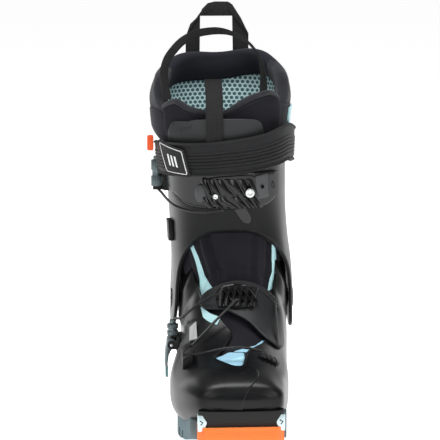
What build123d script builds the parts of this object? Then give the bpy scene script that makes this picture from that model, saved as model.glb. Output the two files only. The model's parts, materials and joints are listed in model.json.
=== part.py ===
"""Alpine touring boot, right foot, women's size about mondo 25, modelled in walk mode.

Frame, in millimetres: +Z up, the toe points along -Y, +X is the inner (medial) side of the foot.
The origin is the middle of the heel tread's contact face, on the ground.
"""

import os
from functools import cache
from math import cos, pi, sin

from build123d import *

# ---------------------------------------------------------------- driving dimensions
SHELL_WALL = 3.5  # lower shell
CUFF_WALL = 3.0
PIVOT_Y, PIVOT_Z = -50.0, 102.0  # ankle axis, along X
LINER_INSET = 6.2  # liner's outer face, inside the shell's outer face
BOARD_TOP = 20.3  # boot board's upper face, on which the liner stands
FAR = 400.0  # size of a cutting block that is larger than the boot
LOOP_POINTS = 28  # points round each cross-section

# Cross-sections of the lower shell's outer face, from the toe up to the ankle. Each one is a plane
# across the foot, given by its top point (y, z), its bottom point (y, z), its half-widths on the
# outer and the inner side, the x of its middle, and how square its top and bottom halves are.
SHELL_SECTIONS = [
    ((-229, 54), (-229, 42), 25, 25, 0, 0.8, 0.8),
    ((-223, 63), (-225, 34), 37, 37, 0, 0.75, 0.6),
    ((-206, 70), (-209, 24), 46, 42, -1, 0.8, 0.55),
    ((-183, 74), (-185, 15), 53, 47, -2, 0.85, 0.55),
    ((-158, 81), (-156, 13), 56, 50, -2, 0.85, 0.55),
    ((-137, 92), (-126, 13), 53, 50, -1, 0.85, 0.55),
    ((-120, 108), (-92, 13), 48, 50, 1, 0.85, 0.6),
    ((-109, 128), (-55, 13), 47, 50, 3, 0.85, 0.65),
    ((-101, 148), (-12, 13), 47, 50, 3.5, 0.9, 0.6),
    ((-93, 164), (30, 23), 46, 49, 3.5, 0.9, 0.7),
    ((-80, 175), (41, 56), 45, 48, 3.5, 0.9, 0.8),
    ((-62, 181), (36, 92), 44, 47, 3, 0.95, 0.9),
    ((-40, 182), (32, 120), 41, 43, 3, 1.0, 1.0),
    ((-20, 178), (21, 146), 30, 32, 2, 1.0, 1.0),
]
# Level cross-sections of the cuff's outer face: height, front y, rear y, outer x, inner x, squareness.
CUFF_SECTIONS = [
    (56, -113, 41, -52.5, 59.5, 0.62),
    (85, -113, 40, -53, 60.5, 0.62),
    (115, -111, 37, -52, 60.5, 0.64),
    (140, -107, 33, -51.5, 59, 0.66),
    (165, -104, 30, -52.5, 56, 0.7),
    (190, -105, 28, -54, 54, 0.74),
    (215, -109, 25.5, -55.5, 53.5, 0.78),
    (240, -113, 22, -57, 53, 0.8),
    (265, -117, 17.5, -58.5, 52.5, 0.82),
    (300, -121, 11, -60, 52, 0.82),
]
# The same for the liner's shaft, which flares into a padded collar above the cuff.
LINER_SECTIONS = [
    (150, -98.5, 23, -48, 50.5, 0.72),
    (190, -98.5, 21.5, -49, 48.5, 0.76),
    (225, -103, 18, -50.5, 47.5, 0.8),
    (262, -105.5, 14, -53, 46.5, 0.84),
    (280, -103, 13.5, -62, 52.5, 0.92),
    (294, -102, 14, -69, 57.5, 0.92),
    (312, -97, 14.5, -64, 54, 0.9),
    (330, -84, 14, -52, 43, 0.9),
]


def keep(builder, name):
    """Labels a finished piece and writes it as parts/NAME.step."""
    builder.part.label = name
    export_step(builder.part, f"parts/{name}.step")


def shell_loop(section, inset, share):
    """The plane of one section of the lower shell, and its points in that plane."""
    top, bottom, outer, inner, middle, round_top, round_bottom = section
    across = Vector(0, top[0] - bottom[0], top[1] - bottom[1])
    half = max(across.length / 2 - inset, across.length / 6)
    plane = Plane(
        origin=(middle, (top[0] + bottom[0]) / 2, (top[1] + bottom[1]) / 2),
        x_dir=(1, 0, 0),
        z_dir=Vector(1, 0, 0).cross(across),
    ).offset(share * inset)
    points = []
    for i in range(LOOP_POINTS):
        angle = 2 * pi * i / LOOP_POINTS
        c, s = cos(angle), sin(angle)
        power = round_top if s > 0 else round_bottom
        width = (inner if c > 0 else outer) - inset
        points.append((width * signed_power(c, power), half * signed_power(s, power)))
    return plane, points


def level_loop(section, inset):
    """The plane and the points of one level section, of the cuff or of the liner's shaft."""
    height, front, rear, outer, inner, power = section
    plane = Plane(origin=((outer + inner) / 2, (front + rear) / 2, height))
    width, depth = (inner - outer) / 2 - inset, (rear - front) / 2 - inset
    turns = [2 * pi * i / LOOP_POINTS for i in range(LOOP_POINTS)]
    bent = [(signed_power(cos(a), power), signed_power(sin(a), power)) for a in turns]
    return plane, [(width * across, depth * along) for across, along in bent]


def signed_power(value, power):
    size = abs(value) ** power
    return size if value >= 0 else -size


def loft_loops(loops):
    """One closed solid through a row of closed loops."""
    with BuildPart() as solid:
        for plane, points in loops:
            with BuildSketch(plane):
                with BuildLine():
                    Polyline(*points, close=True)
                make_face()
        loft(ruled=True)
    return solid.part


@cache
def foot_form(inset):
    """The shell's outer form taken in by an inset, which also moves the sections at both ends inwards."""
    rows = len(SHELL_SECTIONS)
    shares = [-1, -0.8, -0.35, *[0] * (rows - 5), 0.4, 1]
    loops = [shell_loop(s, inset, share) for s, share in zip(SHELL_SECTIONS, shares)]
    return loft_loops(loops)


@cache
def cuff_form(inset):
    return loft_loops([level_loop(s, inset) for s in CUFF_SECTIONS])


def layer(form, inner_inset, outer_inset, *limits):
    """The part of a skin between two insets of a form that lies within every limiting block."""
    with BuildPart() as skin:
        add(form(outer_inset))
        for limit in limits:
            add(limit, mode=Mode.INTERSECT)
        add(form(inner_inset), mode=Mode.SUBTRACT)
    return skin.part


def outline_block(plane, outline, low, high, corner=0.0, grow=0.0, smooth=False):
    """A block whose outline is given on a plane, reaching from one height above it to another."""
    with BuildPart() as block:
        with BuildSketch(plane.offset(low)) as face:
            with BuildLine():
                if smooth:
                    Spline(*outline, periodic=True)
                else:
                    Polyline(*outline, close=True)
            make_face()
            if corner:
                fillet(face.vertices(), corner)
            if grow:
                offset(amount=grow, kind=Kind.INTERSECTION)
        extrude(amount=high - low)
    return block.part


SIDE_VIEW = Plane.YZ  # (y, z), heights along x
FRONT_VIEW = Plane.XZ  # (x, z), heights along -y
# (x, distance up the slope), heights outward from the instep
INSTEP_VIEW = Plane(origin=(0, -120, 108), x_dir=(1, 0, 0), z_dir=(0, -1, 1))


def box_between(x, y, z):
    """A block between two places on each axis."""
    with BuildPart() as block:
        with Locations(((x[0] + x[1]) / 2, (y[0] + y[1]) / 2, (z[0] + z[1]) / 2)):
            Box(x[1] - x[0], y[1] - y[0], z[1] - z[0])
    return block.part


def bar_between(start, end, radius):
    """A round bar from one point to another."""
    run = Vector(*end) - Vector(*start)
    with BuildPart() as bar:
        with BuildSketch(Plane(origin=start, z_dir=run)):
            Circle(radius)
        extrude(amount=run.length)
    return bar.part


def cord(points, bends, radius):
    """A cable along straight runs joined by tangent arcs."""
    with BuildPart() as run:
        with BuildLine() as path:
            FilletPolyline(*points, radius=bends)
        with BuildSketch(Plane(origin=points[0], z_dir=path.line % 0)):
            Circle(radius)
        sweep(path=path.line)
    return run.part


def across_ankle(radius, x_low, x_high):
    """A round bar on the ankle axis, between two places along it."""
    return bar_between((x_low, PIVOT_Y, PIVOT_Z), (x_high, PIVOT_Y, PIVOT_Z), radius)


os.makedirs("parts", exist_ok=True)

# ---------------------------------------------------------------- lower shell
SHELL_TOP = 160.0
# Opening over the instep, from the ankle down to the toe box.
THROAT = [
    (-38, 90), (-37, 55), (-31, 25), (-26, 0), (-13, -11), (-2, -29), (-12, -50), (-22, -63),
    (-4, -80), (5, -80), (11, -54), (29, -38), (36, -15), (41, 10), (42, 40), (42, 90),
]
throat = outline_block(INSTEP_VIEW, THROAT, -20, 60, corner=2)
PIVOT_HOLE_R = 5.0
HEEL_SCREW_HOLE_R = 2.1

with BuildPart() as lower_shell:
    add(foot_form(0))
    add(box_between((-FAR, FAR), (-FAR, FAR), (SHELL_TOP, FAR)), mode=Mode.SUBTRACT)
    add(foot_form(SHELL_WALL), mode=Mode.SUBTRACT)
    add(throat, mode=Mode.SUBTRACT)
    add(across_ankle(PIVOT_HOLE_R, -FAR / 2, FAR / 2), mode=Mode.SUBTRACT)
    add(bar_between((0, 30, 34), (0, 45, 34), HEEL_SCREW_HOLE_R), mode=Mode.SUBTRACT)
keep(lower_shell, "lower_shell")

with BuildPart() as heel_block:
    add(box_between((-16, 16), (18, 41.5), (14, 42)))
    add(foot_form(-0.1), mode=Mode.SUBTRACT)
    add(bar_between((0, 30, 34), (0, 42, 34), HEEL_SCREW_HOLE_R), mode=Mode.SUBTRACT)
keep(heel_block, "heel_block")

# ---------------------------------------------------------------- sole
BUMPER_REAR, FOREFOOT_REAR, HEEL_FRONT = -206.0, -106.0, -24.0
SOLE_PLAN = [
    (0, 41.4), (24, 37), (35, 18), (37, -20), (37, -70), (42, -115), (45, -155), (42, -190),
    (38, -222), (0, -236), (-36.5, -222), (-45, -190), (-51, -155), (-46, -115), (-37, -70),
    (-35, -20), (-33, 18), (-23, 37),
]
sole_plan = outline_block(Plane.XY, SOLE_PLAN, -5, 40, smooth=True)
# Side outlines of the rubber, (y, z): the tread rises in front of the ball, so that the foot can roll.
FOREFOOT_SIDE = [(-106.3, 0), (-106.3, 20), (-205.7, 34), (-205.7, 9), (-185, 3), (-165, 0)]
MIDFOOT_SIDE = [(-105.7, 5), (-105.7, 19), (-24.3, 19), (-24.3, 5), (-40, 7), (-90, 7)]
HEEL_SIDE = [(-23.7, 0), (-23.7, 18), (44, 40), (44, 6), (38, 0)]
GROOVE_DEPTH, GROOVE_WIDTH = 4.0, 4.0


def tread(outline, grooves):
    """A rubber sole piece with grooves across it, in front of a heel boss and under the shell."""
    with BuildPart() as rubber:
        add(outline_block(SIDE_VIEW, outline, -60, 60))
        add(sole_plan, mode=Mode.INTERSECT)
        add(foot_form(-0.3), mode=Mode.SUBTRACT)
        add(box_between((-16.3, 16.3), (17.7, 60), (13.7, 60)), mode=Mode.SUBTRACT)
        add(box_between((-14.3, 14.3), (41.5, 60), (5.7, 60)), mode=Mode.SUBTRACT)
        for y in grooves:
            cut = box_between((-60, 60), (y, y + GROOVE_WIDTH), (-1, GROOVE_DEPTH))
            add(cut, mode=Mode.SUBTRACT)
    return rubber.part


with BuildPart() as forefoot_tread:
    add(tread(FOREFOOT_SIDE, [-118, -130, -142, -154, -166, -178]))
keep(forefoot_tread, "forefoot_tread")

with BuildPart() as midfoot_rubber:
    add(tread(MIDFOOT_SIDE, []))
keep(midfoot_rubber, "midfoot_rubber")

with BuildPart() as heel_tread:
    add(tread(HEEL_SIDE, [-18, -8, 4, 15, 26]))
keep(heel_tread, "heel_tread")

TOE_LEFT, TOE_RIGHT, TOE_TIP = -36.5, 38.0, -236.0
BUMPER_TOP, WELT_TOP = 26.0, 39.5
TOE_PLAN = [
    (TOE_LEFT, BUMPER_REAR), (TOE_LEFT, -228), (-31, TOE_TIP), (32, TOE_TIP), (TOE_RIGHT, -228),
    (TOE_RIGHT, BUMPER_REAR),
]
INSERT_Y, INSERT_Z = -226.0, 29.5
SOCKET_R, SOCKET_DEPTH = 3.0, 4.5
insert_pads = [
    box_between((TOE_LEFT - 0.4, TOE_LEFT + 7), (-231.5, -220), (22.5, 36.5)),
    box_between((TOE_RIGHT - 7, TOE_RIGHT + 0.4), (-231.5, -220), (22.5, 36.5)),
]
insert_bar = box_between((TOE_LEFT + 6, TOE_RIGHT - 6), (-231.5, -227), (26.3, 33))

with BuildPart() as toe_bumper:
    add(outline_block(Plane.XY, TOE_PLAN, 8, BUMPER_TOP))
    with BuildSketch(SIDE_VIEW.offset(-60)):
        with BuildLine():
            Polyline((-240, 8), (-240, 13), (TOE_TIP, 13), (-232, 10), (-206, 9), (-200, 8), close=True)
        make_face()
    extrude(amount=120, mode=Mode.SUBTRACT)
    add(foot_form(-0.3), mode=Mode.SUBTRACT)
    for pad in insert_pads:
        add(pad, mode=Mode.SUBTRACT)
keep(toe_bumper, "toe_bumper")

with BuildPart() as toe_welt:
    add(outline_block(Plane.XY, TOE_PLAN, BUMPER_TOP + 0.05, WELT_TOP))
    add(box_between((-60, 60), (-240, -232), (0, 60)), mode=Mode.SUBTRACT)
    add(foot_form(-0.3), mode=Mode.SUBTRACT)
    for pad in [*insert_pads, insert_bar]:
        add(pad, mode=Mode.SUBTRACT)
keep(toe_welt, "toe_welt")

with BuildPart() as toe_insert:
    for pad in [*insert_pads, insert_bar]:
        add(pad)
    left = (TOE_LEFT - 0.4, INSERT_Y, INSERT_Z)
    right = (TOE_RIGHT + 0.4, INSERT_Y, INSERT_Z)
    add(bar_between(left, (left[0] + SOCKET_DEPTH, *left[1:]), SOCKET_R), mode=Mode.SUBTRACT)
    add(bar_between(right, (right[0] - SOCKET_DEPTH, *right[1:]), SOCKET_R), mode=Mode.SUBTRACT)
    add(foot_form(-0.3), mode=Mode.SUBTRACT)
keep(toe_insert, "toe_insert")

HEEL_PIN_SPACING, HEEL_SLOT_WIDTH = 16.0, 6.0
with BuildPart() as heel_plate:
    add(box_between((-14, 14), (41.8, 44.8), (6, 41)))
    fillet(heel_plate.edges().filter_by(Axis.Y), 3)
    for side in (-1, 1):
        x = side * HEEL_PIN_SPACING / 2
        slot = (x - HEEL_SLOT_WIDTH / 2, x + HEEL_SLOT_WIDTH / 2)
        add(box_between(slot, (40, 46), (0, 19)), mode=Mode.SUBTRACT)
    add(bar_between((0, 40, 34), (0, 46, 34), HEEL_SCREW_HOLE_R), mode=Mode.SUBTRACT)
keep(heel_plate, "heel_plate")

with BuildPart() as heel_screw:
    add(bar_between((0, 32, 34), (0, 44.9, 34), 1.95))
    add(bar_between((0, 44.9, 34), (0, 46.6, 34), 3.6))
    add(box_between((-0.5, 0.5), (46, 47), (31.5, 36.5)), mode=Mode.SUBTRACT)
keep(heel_screw, "heel_screw")

# ---------------------------------------------------------------- inside the shell
everything = ((-FAR, FAR), (-FAR, FAR))
with BuildPart() as boot_board:
    add(foot_form(SHELL_WALL + 0.4))
    add(box_between(*everything, (0, BOARD_TOP)), mode=Mode.INTERSECT)
keep(boot_board, "boot_board")

# The room for the foot and the leg: its plan, (x, y), its side view, (y, z), and its front view, (x, z).
FOOT_PLAN = [
    (0, 26), (24, 16), (36, -10), (41, -60), (39, -120), (38, -160), (30, -192), (14, -210), (-16, -211),
    (-34, -194), (-44, -160), (-42, -120), (-35, -60), (-31, -10), (-22, 16),
]
FOOT_SIDE = [
    (-178, 25), (-198, 31.5), (-210, 38.5), (-212, 44), (-205, 50), (-180, 57), (-150, 66), (-125, 78),
    (-108, 102), (-96, 135), (-86, 165), (-86, 200), (4, 200), (6, 160), (16, 120), (22, 80), (24, 50),
    (18, 25),
]
FOOT_FRONT = [(-30, 25), (-46, 46), (-46, 200), (42, 200), (42, 46), (30, 25)]
with BuildPart() as foot_room:
    add(outline_block(Plane.XY, FOOT_PLAN, 20, 210, smooth=True))
    add(outline_block(SIDE_VIEW, FOOT_SIDE, -60, 60), mode=Mode.INTERSECT)
    add(outline_block(FRONT_VIEW, FOOT_FRONT, -60, 240), mode=Mode.INTERSECT)

LINER_FOOT_TOP = 163.0
NUT_R, NUT_FACES = 8.0, (-36.8, 46.7)  # nuts inside the shell, and the x of their inner faces
with BuildPart() as liner_foot:
    add(foot_form(LINER_INSET))
    add(box_between(*everything, (LINER_FOOT_TOP, FAR)), mode=Mode.SUBTRACT)
    add(box_between(*everything, (-FAR, BOARD_TOP + 0.3)), mode=Mode.SUBTRACT)
    add(foot_room.part, mode=Mode.SUBTRACT)
    add(across_ankle(NUT_R + 0.4, -FAR / 2, NUT_FACES[0] + 0.4), mode=Mode.SUBTRACT)
    add(across_ankle(NUT_R + 0.4, NUT_FACES[1] - 0.4, FAR / 2), mode=Mode.SUBTRACT)
keep(liner_foot, "liner_foot")

INSOLE_LOW, INSOLE_HIGH = 25.3, 27.8
with BuildPart() as insole:
    add(foot_room.part)
    add(box_between((-FAR, FAR), (-176, FAR), (INSOLE_LOW, INSOLE_HIGH)), mode=Mode.INTERSECT)
    scale(by=(0.94, 0.975, 1))
    add(foot_form(SHELL_WALL + 0.4), mode=Mode.INTERSECT)
keep(insole, "insole")

GAITER_TOP = 167.0  # just inside the cuff's arch
gaiter_zone = outline_block(INSTEP_VIEW, THROAT, -18, 60, grow=4)
with BuildPart() as gaiter:
    add(layer(foot_form, LINER_INSET - 0.5, SHELL_WALL + 0.8, gaiter_zone))
    add(box_between(*everything, (GAITER_TOP, FAR)), mode=Mode.SUBTRACT)
keep(gaiter, "gaiter")

# ---------------------------------------------------------------- instep closure
FLAP = [
    (-26, 13), (-14, 22), (3, 28.5), (20, 26), (34, 19), (62, 6), (62, -44), (34, -38),
    (26, -31), (15, -17), (-2, -5), (-24, 0),
]
with BuildPart() as instep_flap:
    add(layer(foot_form, -0.4, -2.6, outline_block(INSTEP_VIEW, FLAP, -25, 60, corner=2)))
keep(instep_flap, "instep_flap")

RACK_LOW = [(-13, 9), (-11, 22), (24, 21), (26, 4), (8, 2)]
with BuildPart() as instep_rack:
    add(layer(foot_form, -2.9, -5.0, outline_block(INSTEP_VIEW, RACK_LOW, -10, 60)))
    for step in range(5):
        x = -10 + 7 * step
        tooth = [(x, 5), (x + 3.5, 5), (x + 8, 21), (x + 4.5, 21)]
        add(layer(foot_form, -4.8, -8.5, outline_block(INSTEP_VIEW, tooth, -10, 60)))
keep(instep_rack, "instep_rack")

PATCHES = [
    [(-18, -62), (-4.5, -75.5), (2, -76), (6.5, -56), (-8, -54.5)],
    [(9, -45), (24, -33.5), (26, -38), (10.5, -50.5)],
]
with BuildPart() as throat_patches:
    for outline in PATCHES:
        add(layer(foot_form, 3.6, 2.4, outline_block(INSTEP_VIEW, outline, -10, 60)))
keep(throat_patches, "throat_patches")

CABLE_R = 1.2
with BuildPart() as upper_instep_cable:
    route = [(-50.5, -93, 93), (-46, -105, 94), (-37, -116.5, 104), (-22, -120, 116), (-14.5, -123.5, 121)]
    add(cord(route, 6, CABLE_R))
keep(upper_instep_cable, "upper_instep_cable")

with BuildPart() as lower_instep_cable:
    route = [(3, -130.5, 117), (-6, -134, 108.5), (-26.5, -149, 92), (-38.5, -160.5, 82.5)]
    add(cord(route, 8, CABLE_R))
keep(lower_instep_cable, "lower_instep_cable")

with BuildPart() as forefoot_cable:
    route = [
        (-43.5, -172, 76.5), (-28, -181.5, 79), (-10, -178, 83), (8, -176, 83), (21, -178.5, 80.5),
    ]
    add(cord(route, 8, CABLE_R))
keep(forefoot_cable, "forefoot_cable")

with BuildPart() as cable_guide:
    add(layer(foot_form, -0.3, -7.5, box_between((-47.5, -38.5), (-177, -155), (60, 90))))
    add(bar_between((-38, -160, 82.8), (-49, -170, 75.5), CABLE_R + 0.2), mode=Mode.SUBTRACT)
    add(bar_between((-32, -180, 78.5), (-52, -167, 75.5), CABLE_R + 0.2), mode=Mode.SUBTRACT)
keep(cable_guide, "cable_guide")

with BuildPart() as cable_anchor:
    add(layer(foot_form, -0.3, -5.8, box_between((21.3, 38), (-186, -174), (60, 90))))
    add(bar_between((33, -180, 60), (33, -180, 90), 1.8), mode=Mode.SUBTRACT)
keep(cable_anchor, "cable_anchor")

SHELL_PLATE = [(-39, -16), (-33, -12), (-33, -34), (-40, -34)]
with BuildPart() as shell_plate:
    add(layer(foot_form, -0.3, -2.0, outline_block(INSTEP_VIEW, SHELL_PLATE, -20, 40)))
keep(shell_plate, "shell_plate")

# ---------------------------------------------------------------- levers: shared sizes
PIN_R, PIN_CLEARANCE, HUB_R = 1.5, 0.1, 4.2
BARREL_R, KNURLS = 5.2, 18


def barrel(plane, height):
    """A knurled adjuster barrel, with a running bore, standing on a plane."""
    with BuildPart() as knob:
        with BuildSketch(plane):
            Circle(BARREL_R)
            with PolarLocations(BARREL_R, KNURLS):
                Circle(0.45, mode=Mode.SUBTRACT)
            Circle(PIN_R + PIN_CLEARANCE, mode=Mode.SUBTRACT)
        extrude(amount=height)
        with BuildSketch(plane.offset(height * 0.38)):
            Circle(BARREL_R + 1)
            Circle(BARREL_R - 1, mode=Mode.SUBTRACT)
        extrude(amount=height * 0.24, mode=Mode.SUBTRACT)
    return knob.part


# ---------------------------------------------------------------- lower buckle, on the outer side
LOWER_X, LOWER_Z = -54.5, 70.0  # lever axis, along Y
LOWER_FRONT, LOWER_REAR = -104.0, -84.0
LUG = 4.0
LOWER_STEM = (-53.0, -94.0)  # adjuster axis, along Z, through this x and y
STEM_BOTTOM, BARREL_BOTTOM, BARREL_TOP, STEM_TOP = 75.0, 77.0, 87.0, 91.0

with BuildPart() as lower_buckle_base:
    add(box_between((-49.4, -44), (LOWER_FRONT - LUG, LOWER_REAR + LUG), (60, 76.5)))
    add(box_between((-55.3, -44), (-99, -89), (75, 76.7)))
    for y in (LOWER_FRONT - LUG, LOWER_REAR + 0.3):
        lug = (y, y + LUG - 0.3)
        add(box_between((LOWER_X, -46), lug, (LOWER_Z - 3.8, LOWER_Z + 3.8)))
        add(bar_between((LOWER_X, lug[0], LOWER_Z), (LOWER_X, lug[1], LOWER_Z), 3.8))
    add(foot_form(-0.2), mode=Mode.SUBTRACT)
    ends = ((LOWER_X, -110, LOWER_Z), (LOWER_X, -78, LOWER_Z))
    add(bar_between(*ends, PIN_R), mode=Mode.SUBTRACT)
    add(bar_between((*LOWER_STEM, 70), (*LOWER_STEM, 80), PIN_R), mode=Mode.SUBTRACT)
keep(lower_buckle_base, "lower_buckle_base")

with BuildPart() as lower_buckle_pin:
    ends = ((LOWER_X, LOWER_FRONT - LUG, LOWER_Z), (LOWER_X, LOWER_REAR + LUG, LOWER_Z))
    add(bar_between(*ends, PIN_R))
keep(lower_buckle_pin, "lower_buckle_pin")

with BuildPart() as lower_adjuster_stem:
    add(bar_between((*LOWER_STEM, STEM_BOTTOM), (*LOWER_STEM, STEM_TOP), PIN_R))
    add(bar_between((*LOWER_STEM, BARREL_TOP + 0.5), (*LOWER_STEM, STEM_TOP), 3.0))
keep(lower_adjuster_stem, "lower_adjuster_stem")

with BuildPart() as lower_adjuster:
    add(barrel(Plane(origin=(*LOWER_STEM, BARREL_BOTTOM)), BARREL_TOP - BARREL_BOTTOM))
keep(lower_adjuster, "lower_adjuster")

with BuildPart() as lower_lever:
    y_ends = (LOWER_FRONT + 0.3, LOWER_REAR - 0.3)
    add(bar_between((LOWER_X, y_ends[0], LOWER_Z), (LOWER_X, y_ends[1], LOWER_Z), HUB_R))
    add(outline_block(
        Plane.XZ.offset(-y_ends[1]),
        [(-56, 72), (-58.7, 70), (-60, 62), (-60.5, 50), (-58.5, 48.5), (-57, 60), (-54, 66)],
        0, y_ends[1] - y_ends[0],
    ))
    ends = ((LOWER_X, -110, LOWER_Z), (LOWER_X, -78, LOWER_Z))
    add(bar_between(*ends, PIN_R + PIN_CLEARANCE), mode=Mode.SUBTRACT)
keep(lower_lever, "lower_lever")

with BuildPart() as lower_lever_tab:
    add(box_between((-59.8, -57.6), (-100, -88), (38, 48.2)))
    fillet(lower_lever_tab.edges().filter_by(Axis.X), 2)
keep(lower_lever_tab, "lower_lever_tab")

# ---------------------------------------------------------------- ankle pivots
# Side outline of the cuff, (y, z): an arch over the instep, lobes round the pivots, a cut-out for the heel.
CUFF_OUTLINE = [
    (-130, 175), (-92, 174.5), (-84, 169), (-76, 158), (-72, 145), (-72, 125), (-74, 105),
    (-70, 90), (-60, 79), (-50, 76), (-38, 79), (-28, 90), (-20, 110), (-8, 128), (8, 140),
    (27, 148), (60, 150), (60, 262), (5, 262), (-60, 250), (-95, 243), (-130, 242),
]
OUTER_FACE, INNER_FACE = -52.5, 60.6  # the cuff's side faces at the ankle axis
HEAD_R, RECESS = 9.0, 1.4
with BuildPart() as cuff_shell:
    add(cuff_form(0))
    add(cuff_form(CUFF_WALL), mode=Mode.SUBTRACT)
    add(outline_block(SIDE_VIEW, CUFF_OUTLINE, -FAR / 2, FAR / 2), mode=Mode.INTERSECT)
    add(across_ankle(PIVOT_HOLE_R, -FAR / 2, FAR / 2), mode=Mode.SUBTRACT)
    add(across_ankle(HEAD_R + 0.6, -FAR / 2, OUTER_FACE + RECESS), mode=Mode.SUBTRACT)
    add(across_ankle(HEAD_R + 0.6, INNER_FACE - RECESS, FAR / 2), mode=Mode.SUBTRACT)
keep(cuff_shell, "cuff_shell")

with BuildPart() as pivot_bolts:
    for side, face, nut_end in ((-1, OUTER_FACE, NUT_FACES[0]), (1, INNER_FACE, NUT_FACES[1])):
        seat = face - side * (RECESS - 0.3)
        shaft = sorted((seat, nut_end))
        add(across_ankle(PIVOT_HOLE_R - 0.07, *shaft))
        add(across_ankle(HEAD_R, *sorted((seat, seat + side * 1.8))))
        slot = sorted((seat + side * 0.9, seat + side * 3))
        add(box_between(slot, (-56, -44), (101, 103)), mode=Mode.SUBTRACT)
keep(pivot_bolts, "pivot_bolts")

with BuildPart() as pivot_nuts:
    for low, high in ((NUT_FACES[0] - 0.9, NUT_FACES[0]), (NUT_FACES[1], NUT_FACES[1] + 0.9)):
        add(across_ankle(NUT_R, low, high))
        add(across_ankle(PIVOT_HOLE_R - 0.06, low - 1, high + 1), mode=Mode.SUBTRACT)
keep(pivot_nuts, "pivot_nuts")

with BuildPart() as pivot_washers:
    for low, high in ((-48.3, -44.2), (54.0, 56.5)):
        add(across_ankle(8.5, low, high))
        add(across_ankle(PIVOT_HOLE_R, low - 1, high + 1), mode=Mode.SUBTRACT)
    add(foot_form(-0.2), mode=Mode.SUBTRACT)
keep(pivot_washers, "pivot_washers")

with BuildPart() as lock_plate:
    add(box_between((-9, 13), (30, 39.4), (98, 117)))
    add(box_between((-4, 8), (36.5, 41), (102, 111)), mode=Mode.SUBTRACT)
    add(foot_form(-0.2), mode=Mode.SUBTRACT)
keep(lock_plate, "lock_plate")

# ---------------------------------------------------------------- cuff furniture
FRONT_Y = (-140, -60)


def front_zone(outline, corner=0.0, smooth=False):
    """The region in front of the leg whose outline is given in the front view."""
    return outline_block(FRONT_VIEW, outline, -FRONT_Y[1], -FRONT_Y[0], corner=corner, smooth=smooth)


BAND = [
    (-70, 209), (-58, 208), (-50, 199.5), (-38, 196.8), (-28, 196), (10, 195.5), (24, 197), (38, 201),
    (46, 207), (46, 229), (-70, 232),
]
with BuildPart() as cuff_band:
    add(layer(cuff_form, -0.3, -2.6, front_zone(BAND)))
keep(cuff_band, "cuff_band")

with BuildPart() as upper_rack:
    rack_outline = [(-20, 200), (-20, 222), (21, 222), (21, 197), (-16, 196.5)]
    add(layer(cuff_form, -2.9, -5.0, front_zone(rack_outline)))
    for step in range(6):
        x = -20 + 6.6 * step
        tooth = front_zone([(x, 222), (x + 3, 222), (x + 9, 197.5), (x + 6, 197.5)])
        add(layer(cuff_form, -4.8, -7.6, tooth))
keep(upper_rack, "upper_rack")

with BuildPart() as end_plate:
    add(layer(cuff_form, -2.9, -4.8, front_zone([(22, 199), (35, 202.5), (35, 226), (22, 223)])))
    add(bar_between((28, -140, 214.5), (28, -80, 214.5), 2.8), mode=Mode.SUBTRACT)
keep(end_plate, "end_plate")

NUB = [(-22.3, 208), (-24, 214), (-27, 216), (-30, 214), (-31.5, 208), (-30, 202), (-27, 200), (-24, 202)]
with BuildPart() as rack_nub:
    add(layer(cuff_form, -2.9, -6.0, front_zone(NUB, smooth=True)))
keep(rack_nub, "rack_nub")

with BuildPart() as rack_screws:
    for x, z, radius in ((-15.2, 208.5, 2.3), (16, 211.5, 4.0)):
        arm = radius * 0.7
        add(bar_between((x, -118.6, z), (x, -116.4, z), radius))
        add(box_between((x - 0.4, x + 0.4), (-119, -118.1), (z - arm, z + arm)), mode=Mode.SUBTRACT)
        add(box_between((x - arm, x + arm), (-119, -118.1), (z - 0.4, z + 0.4)), mode=Mode.SUBTRACT)
keep(rack_screws, "rack_screws")

with BuildPart() as pull_tab:
    top, end = Vector(1, -121, 208), Vector(15.5, -113, 176)
    with BuildSketch(Plane(origin=top, x_dir=(0.9, 0, 0.4), z_dir=end - top)):
        RectangleRounded(7, 2.4, 1.1)
    extrude(amount=(end - top).length)
keep(pull_tab, "pull_tab")

with BuildPart() as upper_cable:
    route = [
        (-64.8, -50, 205.5), (-60.5, -62, 202.5), (-54.5, -84, 197.5), (-46, -97, 195),
        (-31, -108, 193), (-18, -111.5, 193), (-8, -114, 194.5),
    ]
    add(cord(route, 6, CABLE_R))
keep(upper_cable, "upper_cable")

with BuildPart() as cable_keeper:
    add(layer(cuff_form, -0.3, -4.2, box_between((-70, -40), (-66, -50), (159, 178))))
keep(cable_keeper, "cable_keeper")

TONGUE = [(-45, 243.8), (-43, 270), (-37, 277), (20, 278), (28, 271), (30, 243.8)]
with BuildPart() as cuff_tongue:
    add(layer(cuff_form, 3.0, 0.8, front_zone(TONGUE)))
keep(cuff_tongue, "cuff_tongue")

# ---------------------------------------------------------------- power strap
STRAP_SECTIONS = [
    (205, -115.5, 29, -62, 58, 0.8),
    (240, -120, 26.5, -67, 61, 0.8),
    (275, -123.5, 23, -69, 61.5, 0.82),
]


@cache
def strap_form(inset):
    return loft_loops([level_loop(s, inset) for s in STRAP_SECTIONS])


STRAP = [
    (-75, 247), (-60, 249), (-30, 253), (0, 255), (25, 257), (45, 260), (61, 264), (75, 265),
    (75, 231), (60, 231), (45, 229), (20, 226), (0, 224.5), (-37, 223.5), (-60, 222), (-75, 221),
]
strap_zone = outline_block(FRONT_VIEW, STRAP, 8, 140)
with BuildPart() as power_strap:
    add(layer(strap_form, 2.6, 0, strap_zone))
    add(box_between((-FAR, 0), (-60, FAR), (0, FAR)), mode=Mode.SUBTRACT)
keep(power_strap, "power_strap")

with BuildPart() as strap_patch:
    label_outline = [(-70, 249), (-44, 251), (-36, 226), (-62, 226)]
    add(layer(strap_form, -0.2, -1.6, front_zone(label_outline, corner=2)))
keep(strap_patch, "strap_patch")

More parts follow.
